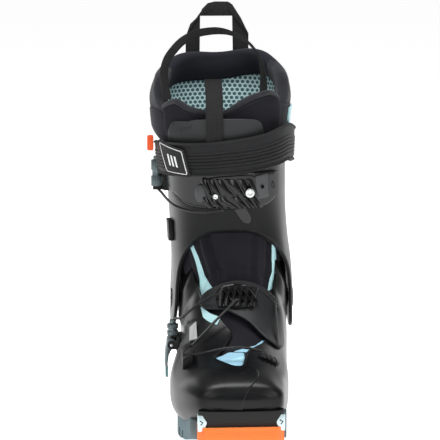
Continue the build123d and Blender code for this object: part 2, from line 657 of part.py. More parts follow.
with BuildPart() as strap_tab:
    add(box_between((-74.5, -68.8), (-63, -60), (243, 257)))
    fillet(strap_tab.edges().filter_by(Axis.Y), 1.5)
keep(strap_tab, "strap_tab")

with BuildPart() as strap_rivet:
    add(bar_between((53, -16, 246), (61.5, -16, 246), 3.5))
    add(strap_form(-0.1), mode=Mode.INTERSECT)
    add(cuff_form(-0.1), mode=Mode.SUBTRACT)
keep(strap_rivet, "strap_rivet")

# ---------------------------------------------------------------- upper buckle, on the outer side
UPPER_X, UPPER_Y = -64.0, -34.0  # lever axis, along Z
UPPER_LOW, UPPER_HIGH = 210.0, 229.0
UPPER_STEM = (-65.5, -50.0)
with BuildPart() as upper_buckle_base:
    add(box_between((-59.6, -52), (-58, -27), (205, 233)))
    for z in (UPPER_LOW - LUG, UPPER_HIGH + 0.3):
        add(box_between((UPPER_X, -58), (UPPER_Y - 3.8, UPPER_Y + 3.8), (z, z + LUG - 0.3)))
        add(bar_between((UPPER_X, UPPER_Y, z), (UPPER_X, UPPER_Y, z + LUG - 0.3), 3.8))
    add(box_between((-69, -58), (-54, -46), (205.2, 208)))
    add(cuff_form(-0.2), mode=Mode.SUBTRACT)
    add(bar_between((UPPER_X, UPPER_Y, 200), (UPPER_X, UPPER_Y, 240), PIN_R), mode=Mode.SUBTRACT)
    add(bar_between((*UPPER_STEM, 200), (*UPPER_STEM, 240), PIN_R), mode=Mode.SUBTRACT)
keep(upper_buckle_base, "upper_buckle_base")

with BuildPart() as upper_buckle_pin:
    add(bar_between((UPPER_X, UPPER_Y, 206), (UPPER_X, UPPER_Y, 233), PIN_R))
keep(upper_buckle_pin, "upper_buckle_pin")

with BuildPart() as upper_adjuster_stem:
    add(bar_between((*UPPER_STEM, 207), (*UPPER_STEM, 236), PIN_R))
    add(bar_between((*UPPER_STEM, 233), (*UPPER_STEM, 236), 3.0))
keep(upper_adjuster_stem, "upper_adjuster_stem")

with BuildPart() as upper_adjuster:
    add(barrel(Plane(origin=(*UPPER_STEM, 208.4)), 24.0))
keep(upper_adjuster, "upper_adjuster")

with BuildPart() as upper_lever:
    z_ends = (UPPER_LOW + 0.3, UPPER_HIGH - 0.3)
    add(bar_between((UPPER_X, UPPER_Y, z_ends[0]), (UPPER_X, UPPER_Y, z_ends[1]), HUB_R))
    add(outline_block(
        Plane.XY,
        [(-66, -34), (-67.6, -30), (-67, -10), (-62, 2), (-60, 1), (-63.4, -10), (-63.4, -30)],
        *z_ends,
    ))
    ends = ((UPPER_X, UPPER_Y, 200), (UPPER_X, UPPER_Y, 240))
    add(bar_between(*ends, PIN_R + PIN_CLEARANCE), mode=Mode.SUBTRACT)
keep(upper_lever, "upper_lever")

# ---------------------------------------------------------------- walk lever, at the rear
WALK_Y, WALK_Z, WALK_X = 38.0, 176.0, 2.0
WALK_HALF = 8.0
with BuildPart() as walk_bracket:
    add(box_between((WALK_X - 13, WALK_X + 13), (20, 33), (WALK_Z - 14, WALK_Z + 14)))
    for x in (WALK_X - 12.5, WALK_X + WALK_HALF + 0.5):
        add(box_between((x, x + LUG), (28, WALK_Y), (WALK_Z - 4, WALK_Z + 4)))
        add(bar_between((x, WALK_Y, WALK_Z), (x + LUG, WALK_Y, WALK_Z), 4))
    add(cuff_form(-0.2), mode=Mode.SUBTRACT)
    add(bar_between((-20, WALK_Y, WALK_Z), (25, WALK_Y, WALK_Z), PIN_R), mode=Mode.SUBTRACT)
keep(walk_bracket, "walk_bracket")

with BuildPart() as walk_pin:
    add(bar_between((WALK_X - 12.5, WALK_Y, WALK_Z), (WALK_X + 12.5, WALK_Y, WALK_Z), PIN_R))
keep(walk_pin, "walk_pin")

with BuildPart() as walk_lever:
    add(bar_between((WALK_X - WALK_HALF, WALK_Y, WALK_Z), (WALK_X + WALK_HALF, WALK_Y, WALK_Z), HUB_R))
    add(outline_block(
        SIDE_VIEW, [(36, 178), (35.5, 224), (37, 229), (39.5, 229), (40.5, 222), (42, 178)],
        WALK_X - WALK_HALF, WALK_X + WALK_HALF,
    ))
    add(box_between((WALK_X - 4, WALK_X + 4), (30, 60), (196, 212)), mode=Mode.SUBTRACT)
    add(bar_between((-20, WALK_Y, WALK_Z), (25, WALK_Y, WALK_Z), PIN_R + PIN_CLEARANCE), mode=Mode.SUBTRACT)
keep(walk_lever, "walk_lever")

# ---------------------------------------------------------------- liner shaft and webbing
COLLAR_INSETS = [5, 5, 5, 6, 10, 12, 11, 9]
DRUM_R = 87.0  # the liner's shaft sweeps round the lower shell
LOCK_REACH = 91.3  # and round the lock plate that stands out behind it


def liner_form(insets, sections=LINER_SECTIONS):
    return loft_loops([level_loop(s, inset) for s, inset in zip(sections, insets)])


above_collar = (345, -80, 12, -50, 41, 0.9)
below_shaft = (135, *LINER_SECTIONS[0][1:])
liner_hollow = liner_form([5, *COLLAR_INSETS, 9], [below_shaft, *LINER_SECTIONS, above_collar])
COLLAR_EDGE = [
    (60, 331), (-18, 331), (-34, 324), (-55, 306), (-72, 294), (-95, 284), (-130, 280),
    (-130, 400), (60, 400),
]
with BuildPart() as liner_shaft:
    add(liner_form([0] * len(LINER_SECTIONS)))
    add(liner_hollow, mode=Mode.SUBTRACT)
    add(across_ankle(DRUM_R, -FAR / 2, FAR / 2), mode=Mode.SUBTRACT)
    add(across_ankle(LOCK_REACH, -9.5, 13.5), mode=Mode.SUBTRACT)
    add(outline_block(SIDE_VIEW, COLLAR_EDGE, -FAR / 2, FAR / 2), mode=Mode.SUBTRACT)
keep(liner_shaft, "liner_shaft")

tongue_zone = outline_block(
    FRONT_VIEW, [(-44, 190), (-46, 291), (-40, 296), (-14, 286), (24, 298), (32, 293), (34, 190)], 88, 140,
)
with BuildPart() as liner_tongue:
    add(liner_form([-2.6] * len(LINER_SECTIONS)))
    add(tongue_zone, mode=Mode.INTERSECT)
    add(liner_form([-0.4] * len(LINER_SECTIONS)), mode=Mode.SUBTRACT)
keep(liner_tongue, "liner_tongue")

LOOP_OUTER = [
    (-35.5, 302), (-35.5, 342), (-20, 371), (-16, 373), (5, 373), (9, 371), (24.5, 342), (24.5, 302),
]
LOOP_WINDOW = [(-22.2, 290), (-22.2, 360.5), (9.4, 360.5), (9.4, 290)]
with BuildPart() as rear_pull_loop:
    add(outline_block(FRONT_VIEW, LOOP_OUTER, -17, -15.4))
    add(outline_block(FRONT_VIEW, LOOP_WINDOW, -20, -10), mode=Mode.SUBTRACT)
keep(rear_pull_loop, "rear_pull_loop")

LOOP_ROUTE = [
    (-60, -66, 302), (-60, -66, 322), (-38, -62, 353), (12, -62, 353), (33, -64, 322), (33, -66, 302),
]
with BuildPart() as front_pull_loop:
    with BuildLine() as path:
        FilletPolyline(*LOOP_ROUTE, radius=16)
    with BuildSketch(Plane(origin=LOOP_ROUTE[0], x_dir=(0, 1, 0), z_dir=path.line % 0)):
        RectangleRounded(8, 2, 0.8)
    sweep(path=path.line)
keep(front_pull_loop, "front_pull_loop")

STRIP = [(-118, 257.5), (-119.6, 281.3), (-101.5, 312), (-100.3, 311.3), (-118.3, 280.9), (-116.7, 257.5)]
with BuildPart() as tongue_pull:
    add(outline_block(SIDE_VIEW, STRIP, -24, -8))
keep(tongue_pull, "tongue_pull")
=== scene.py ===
"""Looks of the alpine touring boot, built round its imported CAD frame. Lengths are millimetres times MM."""
import json
import math

import bmesh
import bpy
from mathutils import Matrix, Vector
from mathutils.bvhtree import BVHTree


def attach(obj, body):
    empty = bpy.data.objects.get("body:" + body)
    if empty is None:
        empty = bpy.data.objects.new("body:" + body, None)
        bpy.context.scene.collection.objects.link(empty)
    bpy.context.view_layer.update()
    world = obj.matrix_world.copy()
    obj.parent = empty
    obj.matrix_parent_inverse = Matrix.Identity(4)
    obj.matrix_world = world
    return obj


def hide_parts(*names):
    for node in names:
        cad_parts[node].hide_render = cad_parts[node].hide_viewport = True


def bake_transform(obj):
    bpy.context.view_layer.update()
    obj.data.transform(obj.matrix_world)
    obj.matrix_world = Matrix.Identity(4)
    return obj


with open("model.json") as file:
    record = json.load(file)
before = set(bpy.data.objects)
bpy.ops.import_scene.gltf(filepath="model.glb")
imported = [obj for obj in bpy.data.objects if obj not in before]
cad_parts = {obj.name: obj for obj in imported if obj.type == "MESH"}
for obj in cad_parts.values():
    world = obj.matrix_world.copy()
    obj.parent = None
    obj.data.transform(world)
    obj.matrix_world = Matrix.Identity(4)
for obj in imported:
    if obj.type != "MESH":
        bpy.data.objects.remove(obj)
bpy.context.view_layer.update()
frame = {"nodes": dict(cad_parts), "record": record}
MM = 0.001
WALL = 3.5  # lower shell
CUFF_WALL = 3.0
TURNS = 128  # points round a skin
ANKLE_Y, ANKLE_Z = -50, 102  # where the cuff pivots
BOLT_SEAT, BOLT_HOLE = 9.6, 5.0  # radii

# ------------------------------------------------------------------ the boot's forms
# Sections of the lower shell, as in the part but with three more to round off the toe: top (y, z),
# bottom (y, z), outer and inner half-width, middle x, squareness of the top and of the bottom.
SHELL = [
    (-231.2, 50, -231, 46, 10, 10, 0, 0.9, 0.8),
    (-230.6, 52, -230.4, 43.5, 18, 18, 0, 0.85, 0.8),
    (-228.6, 56.5, -229.4, 40.5, 28, 28, 0, 0.8, 0.75),
    (-223, 63, -226, 34, 37, 37, 0, 0.75, 0.6),
    (-206, 70, -209, 24, 46, 42, -1, 0.8, 0.55),
    (-183, 74, -185, 15, 53, 47, -2, 0.85, 0.55),
    (-158, 81, -156, 13, 56, 50, -2, 0.85, 0.55),
    (-137, 92, -126, 13, 53, 50, -1, 0.85, 0.55),
    (-120, 108, -92, 13, 48, 50, 1, 0.85, 0.6),
    (-109, 128, -55, 13, 47, 50, 3, 0.85, 0.65),
    (-101, 148, -12, 13, 47, 50, 3.5, 0.9, 0.6),
    (-93, 164, 30, 23, 46, 49, 3.5, 0.9, 0.7),
    (-80, 175, 41, 56, 45, 48, 3.5, 0.9, 0.8),
    (-62, 181, 36, 92, 44, 47, 3, 0.95, 0.9),
    (-40, 182, 32, 120, 41, 43, 3, 1.0, 1.0),
    (-20, 178, 21, 146, 30, 32, 2, 1.0, 1.0),
]
# Level sections: height, front y, rear y, outer x, inner x, squareness.
CUFF = [
    (56, -113, 41, -52.5, 59.5, 0.62),
    (85, -113, 40, -53, 60.5, 0.62),
    (115, -111, 37, -52, 60.5, 0.64),
    (140, -107, 33, -51.5, 59, 0.66),
    (165, -104, 30, -52.5, 56, 0.7),
    (190, -105, 28, -54, 54, 0.74),
    (215, -109, 25.5, -55.5, 53.5, 0.78),
    (240, -113, 22, -57, 53, 0.8),
    (265, -117, 17.5, -58.5, 52.5, 0.82),
    (300, -121, 11, -60, 52, 0.82),
]
STRAP = [
    (205, -115.5, 29, -62, 58, 0.8),
    (240, -120, 26.5, -67, 61, 0.8),
    (275, -123.5, 23, -69, 61.5, 0.82),
]
LINER = [
    (150, -98.5, 23, -48, 50.5, 0.72),
    (190, -98.5, 21.5, -49, 48.5, 0.76),
    (225, -103, 18, -50.5, 47.5, 0.8),
    (244, -104.5, 15.5, -52.5, 46.5, 0.83),
    (251, -105, 14.8, -60, 50, 0.9),
    (257, -105, 14.4, -65, 53, 0.94),
    (264, -105, 14, -68.3, 54.5, 0.94),
    (279, -103, 13.5, -69.8, 56.2, 0.92),
    (294, -102, 14, -70, 57.5, 0.92),
    (312, -97, 14.5, -64, 54, 0.9),
    (330, -84, 14, -52, 43, 0.9),
]
# A view is an origin, its right, its up and the direction towards the eye.
INSTEP = (
    Vector((0, -120, 108)), Vector((1, 0, 0)),
    Vector((0, 1, 1)).normalized(), Vector((0, -1, 1)).normalized(),
)
FRONT = (Vector((0, 0, 0)), Vector((1, 0, 0)), Vector((0, 0, 1)), Vector((0, -1, 0)))
SIDE = (Vector((0, 0, 0)), Vector((0, 1, 0)), Vector((0, 0, 1)), Vector((1, 0, 0)))


def signed_power(value, power):
    """The size of a value raised to a power, with its sign kept."""
    return math.copysign(abs(value) ** power, value)


def unit(value):
    """The value, kept between 0 and 1."""
    return max(0.0, min(1.0, value))


def ramp(value, low, high):
    """A smooth rise from 0 at low to 1 at high."""
    share = unit((value - low) / (high - low))
    return share * share * (3 - 2 * share)


def bracket(rows, key):
    """The row that a key in the first column comes after, and how far on it is towards the next."""
    i = 0
    while i < len(rows) - 2 and key > rows[i + 1][0]:
        i += 1
    return i, (key - rows[i][0]) / (rows[i + 1][0] - rows[i][0])


def blend_rows(rows, t):
    """A smooth curve through the rows: the row at place t, where whole numbers are the rows themselves."""
    i = max(0, min(len(rows) - 2, int(math.floor(t))))
    f = t - i
    a, b, c, d = (rows[max(0, min(len(rows) - 1, i + k))] for k in (-1, 0, 1, 2))
    mix = []
    for p, q, r, s in zip(a, b, c, d):
        square, cube = 2 * p - 5 * q + 4 * r - s, 3 * q - p - 3 * r + s
        mix.append(0.5 * (2 * q + (r - p) * f + square * f * f + cube * f ** 3))
    return mix


def foot_point(t, angle, out=0.0):
    """A point of the lower shell: t along the rows, angle round the section, out above the surface."""
    ty, tz, by, bz, outer, inner, middle, round_top, round_bottom = blend_rows(SHELL, t)
    up = Vector((0, ty - by, tz - bz))
    half = up.length / 2
    c, s = math.cos(angle), math.sin(angle)
    power = round_top if s > 0 else round_bottom
    width = (inner if c > 0 else outer) + out
    centre = Vector((middle, (ty + by) / 2, (tz + bz) / 2))
    ends = max(0.0, 1 - t / 3)
    centre.y -= out * ends
    half = max(half + out, half * 0.3)
    width = max(width, 3.0)
    sideways = Vector((width * signed_power(c, power), 0, 0))
    return centre + sideways + up.normalized() * half * signed_power(s, power)


def level_point(rows, z, angle, out=0.0):
    """A point of a form of level sections. An angle of 0 is the inner side, a quarter turn the rear."""
    i, share = bracket(rows, z)
    _, front, rear, outer, inner, power = blend_rows(rows, max(0.0, min(len(rows) - 1.0, i + share)))
    c, s = math.cos(angle), math.sin(angle)
    x = (outer + inner) / 2 + ((inner - outer) / 2 + out) * signed_power(c, power)
    y = (front + rear) / 2 + ((rear - front) / 2 + out) * signed_power(s, power)
    return Vector((x, y, z))


# ------------------------------------------------------------------ mesh helpers
def make_object(name, points, faces):
    """A mesh from points in millimetres."""
    mesh = bpy.data.meshes.new(name)
    mesh.from_pydata([tuple(Vector(p) * MM) for p in points], [], faces)
    mesh.validate()
    obj = bpy.data.objects.new(name, mesh)
    bpy.context.collection.objects.link(obj)
    tidy_normals(obj)
    return obj


def tidy_normals(obj, sharp=35):
    """Faces turned outwards and shaded smooth, but for edges sharper than an angle in degrees."""
    work = bmesh.new()
    work.from_mesh(obj.data)
    bmesh.ops.recalc_face_normals(work, faces=work.faces)
    work.to_mesh(obj.data)
    work.free()
    obj.data.shade_smooth()
    obj.data.set_sharp_from_angle(angle=math.radians(sharp))


def grid_faces(rows, columns, closed=True):
    """The faces between rows of points; closed joins each row's end to its start."""
    faces = []
    for i in range(rows - 1):
        for j in range(columns if closed else columns - 1):
            k = (j + 1) % columns
            faces.append((i * columns + j, i * columns + k, (i + 1) * columns + k, (i + 1) * columns + j))
    return faces


def closing_faces(rows, columns):
    """The faces that join the last row of a grid back to its first."""
    last = (rows - 1) * columns
    return [(last + j, last + (j + 1) % columns, (j + 1) % columns, j) for j in range(columns)]


def closed_skin(name, rings):
    """A closed solid through rings of points, with flat ends."""
    columns = len(rings[0])
    points = [p for ring in rings for p in ring]
    faces = grid_faces(len(rings), columns)
    faces.append(tuple(range(columns)))
    last = (len(rings) - 1) * columns
    faces.append(tuple(range(last + columns - 1, last - 1, -1)))
    return make_object(name, points, faces)


def open_sheet(name, rows):
    """A sheet through rows of points."""
    faces = grid_faces(len(rows), len(rows[0]), closed=False)
    return make_object(name, [p for row in rows for p in row], faces)


def angles(count, start=0.0, end=2 * math.pi):
    """Even steps round a turn, without its end."""
    return [start + (end - start) * j / count for j in range(count)]


def foot_skin(name, out, start=0.0, end=len(SHELL) - 1.0, steps=110):
    """The lower shell's form as a solid, out above its surface, from one row to another."""
    rings = []
    for i in range(steps + 1):
        t = start + (end - start) * i / steps
        rings.append([foot_point(t, a, out) for a in angles(TURNS)])
    return closed_skin(name, rings)


def level_skin(name, rows, out, low, high, steps=70):
    """A form of level sections as a solid, from one height to another."""
    rings = []
    for i in range(steps + 1):
        z = low + (high - low) * i / steps
        rings.append([level_point(rows, z, a, out) for a in angles(TURNS)])
    return closed_skin(name, rings)


def smooth_closed(points, per_side=6):
    """A closed smooth curve through plane points."""
    count = len(points)
    curve = []
    for i in range(count):
        rows = [points[(i + k - 1) % count] for k in range(4)]
        for j in range(per_side):
            curve.append(tuple(blend_rows(rows, 1 + j / per_side)))
    return curve


def rounded(points, radius, per_corner=5):
    """A closed outline with its corners rounded."""
    count = len(points)
    curve = []
    for i in range(count):
        before, here, after = (Vector(points[(i + k) % count]) for k in (-1, 0, 1))
        inward, outward = (before - here), (after - here)
        reach = min(radius, inward.length * 0.45, outward.length * 0.45)
        a, b = here + inward.normalized() * reach, here + outward.normalized() * reach
        for j in range(per_corner + 1):
            f = j / per_corner
            curve.append(tuple(a * (1 - f) ** 2 + here * 2 * f * (1 - f) + b * f * f))
    return curve


def densify(points, step=2.0, closed=True):
    """The same outline with more points on its straight sides. An open one stops just short of its end."""
    curve = []
    for i in range(len(points) if closed else len(points) - 1):
        a, b = Vector(points[i]), Vector(points[(i + 1) % len(points)])
        parts = max(1, int((b - a).length / step))
        curve += [tuple(a.lerp(b, j / parts)) for j in range(parts)]
    return curve


def prism(name, outline, view, low, high):
    """A closed block over a plane outline."""
    origin, right, up, normal = view
    rings = []
    for height in (low, high):
        rings.append([origin + right * u + up * v + normal * height for u, v in outline])
    return closed_skin(name, rings)


def block(name, low, high):
    """A plain cutting block, in mm."""
    corners = [(low[0], low[1]), (high[0], low[1]), (high[0], high[1]), (low[0], high[1])]
    return closed_skin(name, [[Vector((x, y, z)) for x, y in corners] for z in (low[2], high[2])])


def ankle_bar(name, radius, low, high):
    """A cutting bar on the ankle axis."""
    ring = [(ANKLE_Y + radius * math.cos(a), ANKLE_Z + radius * math.sin(a)) for a in angles(48)]
    return closed_skin(name, [[Vector((x, y, z)) for y, z in ring] for x in (low, high)])


def boolean(target, cutter, operation="DIFFERENCE", crossing=False):
    """Cut one mesh with another; crossing is for a target whose own faces cross."""
    change = target.modifiers.new("cut", "BOOLEAN")
    change.use_self = crossing
    change.operation = operation
    change.solver = "EXACT"
    change.object = cutter
    apply_modifiers(target)
    bpy.data.objects.remove(cutter)


def apply_modifiers(obj):
    """The mesh as its modifiers leave it."""
    bpy.context.view_layer.update()
    graph = bpy.context.evaluated_depsgraph_get()
    mesh = bpy.data.meshes.new_from_object(obj.evaluated_get(graph))
    obj.modifiers.clear()
    obj.data = mesh


def paint(obj, material):
    """The piece itself, given its material."""
    obj.data.materials.append(material)
    return obj


def join(name, objects):
    """Several meshes as one object, each keeping its material."""
    work = bmesh.new()
    slots = []
    for obj in objects:
        material = obj.data.materials[0] if obj.data.materials else None
        if material not in slots:
            slots.append(material)
        piece = bmesh.new()
        piece.from_mesh(obj.data)
        for face in piece.faces:
            face.material_index = slots.index(material)
        held = bpy.data.meshes.new("held")
        piece.to_mesh(held)
        piece.free()
        work.from_mesh(held)
        bpy.data.meshes.remove(held)
        bpy.data.objects.remove(obj)
    mesh = bpy.data.meshes.new(name)
    work.to_mesh(mesh)
    work.free()
    whole = bpy.data.objects.new(name, mesh)
    bpy.context.collection.objects.link(whole)
    for material in slots:
        if material:
            mesh.materials.append(material)
    mesh.shade_smooth()
    mesh.set_sharp_from_angle(angle=math.radians(35))
    return whole


def surface_of(obj):
    """What a patch is laid on: the mesh's own points, in millimetres."""
    points = [v.co / MM for v in obj.data.vertices]
    return BVHTree.FromPolygons(points, [tuple(p.vertices) for p in obj.data.polygons])


def lay(surface, view, u, v, height):
    """The point over a surface, seen along a view, at a height above it along its own normal."""
    origin, right, up, normal = view
    start = origin + right * u + up * v + normal * 300
    hit, face_normal, _, _ = surface.ray_cast(start, -normal)
    if hit is None:
        return origin + right * u + up * v
    if face_normal.dot(normal) < 0:
        face_normal = -face_normal
    return hit + face_normal * height


def over(surface, view, base=0.0):
    """Places points over a surface: along and up a view, and above the surface."""
    return lambda u, v, height: lay(surface, view, u, v, base + height)


def round_form(rows, base=0.0):
    """Places points round a form of level sections: angle in degrees, height, and above the surface."""
    return lambda u, v, height: level_point(rows, v, math.radians(u), base + height)


def patch(name, outline, place, height, thickness, rings=10, crown=0.0, edge=0.5):
    """A plate that follows a surface inside an outline, with rounded edges; its outline is star-shaped."""
    count = len(outline)
    middle = (sum(p[0] for p in outline) / count, sum(p[1] for p in outline) / count)
    spread = max(math.dist(p, middle) for p in outline)
    top = height + thickness
    steps = []
    for i in range(1, rings):
        steps.append((i / rings * (1 - 1.2 * edge / spread), top + crown * (1 - (i / rings) ** 2)))
    steps += [(1 - 0.9 * edge / spread, top), (1 - 0.25 * edge / spread, top - 0.3 * edge)]
    steps += [(1, top - edge), (1, height)]
    points = [place(*middle, steps[0][1])]
    for share, rise in steps:
        for u, v in outline:
            away_u, away_v = (u - middle[0]) * share, (v - middle[1]) * share
            points.append(place(middle[0] + away_u, middle[1] + away_v, rise))
    faces = [(0, 1 + j, 1 + (j + 1) % count) for j in range(count)]
    for i in range(len(steps) - 1):
        for j in range(count):
            a, b = 1 + i * count, 1 + (i + 1) * count
            k = (j + 1) % count
            faces.append((a + j, a + k, b + k, b + j))
    last = 1 + (len(steps) - 1) * count
    faces.append(tuple(range(last, last + count)))
    return make_object(name, points, faces)


BEAD_SIDES = 10


def bead(name, points, radius, closed=False, flat=1.0):
    """A rounded lip or piping along a line of points."""
    rings = []
    count = len(points)
    points = [Vector(p) for p in points]
    side = None
    for i in range(count):
        if closed:
            ahead = points[(i + 1) % count] - points[i - 1]
        else:
            ahead = points[min(i + 1, count - 1)] - points[max(i - 1, 0)]
        ahead.normalize()
        if side is None:
            side = ahead.orthogonal().normalized()
        side = (side - ahead * side.dot(ahead)).normalized()
        over_it = ahead.cross(side)
        ring = []
        for a in angles(BEAD_SIDES):
            ring.append(points[i] + side * radius * math.cos(a) + over_it * radius * flat * math.sin(a))
        rings.append(ring)
    if not closed:
        return closed_skin(name, rings)
    faces = grid_faces(count, BEAD_SIDES) + closing_faces(count, BEAD_SIDES)
    return make_object(name, [p for ring in rings for p in ring], faces)


def wrap(name, place, columns, profile):
    """A strip round a form: columns are (angle, low, high), the profile is (share across, rise)."""
    rings = []
    for angle, low, high in columns:
        rings.append([place(angle, low + (high - low) * across, rise) for across, rise in profile])
    return closed_skin(name, rings)


def between(table, start, end, steps):
    """Smooth rows through a table whose first column runs from start to end."""
    rows = []
    for i in range(steps + 1):
        key = start + (end - start) * i / steps
        k, share = bracket(table, key)
        rows.append((key, *blend_rows(table, k + share)[1:]))
    return rows


STRIP_SECTION = [
    (-0.5, -0.25), (-0.46, -0.5), (-0.25, -0.5), (0, -0.5), (0.25, -0.5), (0.46, -0.5), (0.5, -0.25),
    (0.5, 0.25), (0.46, 0.5), (0.25, 0.5), (0, 0.5), (-0.25, 0.5), (-0.46, 0.5), (-0.5, 0.25),
]


def ribbon(name, path, sides, width, thickness, bow=0.0):
    """A flat strip along a smooth path: sides gives the width direction at each path point."""
    steps = 10
    rings = []
    total = (len(path) - 1) * steps
    for i in range(total + 1):
        t = i / steps
        here = Vector(blend_rows(path, t))
        after = Vector(blend_rows(path, min(t + 0.02, len(path) - 1)))
        before = Vector(blend_rows(path, max(t - 0.02, 0)))
        ahead = (after - before).normalized()
        side = Vector(blend_rows(sides, t))
        side = (side - ahead * side.dot(ahead)).normalized()
        face_up = side.cross(ahead)
        ring = []
        for across, rise in STRIP_SECTION:
            lift = bow * (1 - (2 * across) ** 2)
            ring.append(here + side * across * width + face_up * (rise * thickness + lift))
        rings.append(ring)
    return closed_skin(name, rings)


def cable(name, points, radius, material):
    """A cable as a smooth tube through control points."""
    curve = bpy.data.curves.new(name, "CURVE")
    curve.dimensions = "3D"
    curve.bevel_depth = radius * MM
    curve.bevel_resolution = 6
    curve.resolution_u = 16
    curve.use_fill_caps = True
    line = curve.splines.new("NURBS")
    line.points.add(len(points) - 1)
    for control, place in zip(line.points, points):
        control.co = (*(Vector(place) * MM), 1)
    line.order_u = 3
    line.use_endpoint_u = True
    curve.materials.append(material)
    obj = bpy.data.objects.new(name, curve)
    bpy.context.collection.objects.link(obj)
    return obj


def round_edges(obj, width, segments=2, sharper_than=30):
    """Rounds the edges that turn by more than an angle in degrees."""
    rim = obj.modifiers.new("rim", "BEVEL")
    rim.width = width * MM
    rim.segments = segments
    rim.limit_method = "ANGLE"
    rim.angle_limit = math.radians(sharper_than)
    rim.use_clamp_overlap = True
    apply_modifiers(obj)


def refine(node, material, width=0.35, segments=2, cuts=(), sharper_than=32, ending="finished"):
    """A CAD node, grooved by any cuts, with its edges rounded: it stands for the node on the same body."""
    obj = bpy.data.objects.new(f"{node}_{ending}", frame["nodes"][node].data.copy())
    bpy.context.collection.objects.link(obj)
    work = bmesh.new()
    work.from_mesh(obj.data)
    bmesh.ops.remove_doubles(work, verts=work.verts, dist=1e-6)
    bmesh.ops.dissolve_limit(work, angle_limit=math.radians(1), verts=work.verts, edges=work.edges)
    work.to_mesh(obj.data)
    work.free()
    for k, (low, high) in enumerate(cuts):
        boolean(obj, block(f"{node}_groove_{k}", low, high))
    round_edges(obj, width, segments, sharper_than)
    obj.data.materials.clear()
    obj.data.shade_smooth()
    obj.data.set_sharp_from_angle(angle=math.radians(40))
    finish(obj, material, BODY_OF[node], node)


BODY_OF = {node: body for body, nodes in frame["record"]["behaviour"]["bodies"].items() for node in nodes}


def finish(obj, material, body, *nodes, slot=None):
    """Material, body and the CAD nodes that a piece stands for."""
    if not obj.data.materials:
        obj.data.materials.append(material)
    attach(obj, body)
    if nodes:
        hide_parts(*nodes)


# ------------------------------------------------------------------ materials
def start_material(name, rough=0.5, specular=0.3, metal=0.0, sheen=0.0):
    """A new material with its nodes, links and shader."""
    material = bpy.data.materials.new(name)
    material.use_nodes = True
    nodes, links = material.node_tree.nodes, material.node_tree.links
    shader = nodes["Principled BSDF"]
    shader.inputs["Roughness"].default_value = rough
    shader.inputs["Specular IOR Level"].default_value = specular
    shader.inputs["Metallic"].default_value = metal
    if sheen:
        shader.inputs["Sheen Weight"].default_value = sheen
        shader.inputs["Sheen Roughness"].default_value = 0.4
    return material, nodes, links, shader


def noise(nodes, links, scale, detail=3.0):
    """Noise in the object's own space."""
    place = nodes.new("ShaderNodeTexCoord")
    texture = nodes.new("ShaderNodeTexNoise")
    texture.inputs["Scale"].default_value = scale
    texture.inputs["Detail"].default_value = detail
    links.new(place.outputs["Object"], texture.inputs["Vector"])
    return texture.outputs["Fac"]


def ranged(nodes, links, value, low, high, to_low, to_high):
    """A value carried from one range to another."""
    change = nodes.new("ShaderNodeMapRange")
    for socket, number in zip(change.inputs[1:5], (low, high, to_low, to_high)):
        socket.default_value = number
    links.new(value, change.inputs[0])
    return change.outputs[0]


def mixed(nodes, links, factor, first, second):
    """Two colours mixed, each a triple or a socket."""
    mix = nodes.new("ShaderNodeMix")
    mix.data_type = "RGBA"
    links.new(factor, mix.inputs["Factor"])
    for socket, colour in ((mix.inputs[6], first), (mix.inputs[7], second)):
        if isinstance(colour, tuple):
            socket.default_value = (*colour, 1)
        else:
            links.new(colour, socket)
    return mix.outputs[2]


def bump(nodes, links, shader, height, strength, distance):
    """Relief from a height, its distance in mm."""
    node = nodes.new("ShaderNodeBump")
    node.inputs["Strength"].default_value = strength
    node.inputs["Distance"].default_value = distance * MM
    links.new(height, node.inputs["Height"])
    links.new(node.outputs["Normal"], shader.inputs["Normal"])


def math_node(nodes, links, operation, *values):
    """One step of arithmetic on numbers or sockets."""
    node = nodes.new("ShaderNodeMath")
    node.operation = operation
    for socket, value in zip(node.inputs, values):
        if isinstance(value, (int, float)):
            socket.default_value = value
        else:
            links.new(value, socket)
    return node.outputs[0]


def moulded(
    name, colour, rough, specular=0.3, grain=0.12, grain_scale=1500, lighter=1.35, metal=0.0, cloud=35,
    tint=1.0,
):
    """Moulded plastic, rubber or metal: a fine grain, slow changes of tone and of gloss, and worn edges.

    A tint under 1 dims the reflections that black plastic gives at a grazing angle.
    """
    material, nodes, links, shader = start_material(name, rough, specular, metal)
    slow = noise(nodes, links, cloud, 4)
    fine = noise(nodes, links, grain_scale, 2)
    pale = tuple(min(1.0, c * lighter) for c in colour)
    tone = mixed(nodes, links, ranged(nodes, links, slow, 0.35, 0.7, 0, 1), colour, pale)
    edge = nodes.new("ShaderNodeNewGeometry").outputs["Pointiness"]
    worn = tuple(min(1.0, c * 1.5 + 0.01) for c in colour)
    tone = mixed(nodes, links, ranged(nodes, links, edge, 0.53, 0.62, 0, 1), tone, worn)
    links.new(tone, shader.inputs["Base Color"])
    gloss = ranged(nodes, links, slow, 0.3, 0.7, rough * 0.9, min(1.0, rough * 1.12))
    links.new(gloss, shader.inputs["Roughness"])
    bump(nodes, links, shader, fine, grain, 0.06)
    shader.inputs["Specular Tint"].default_value = (*[tint] * 3, 1)
    return material


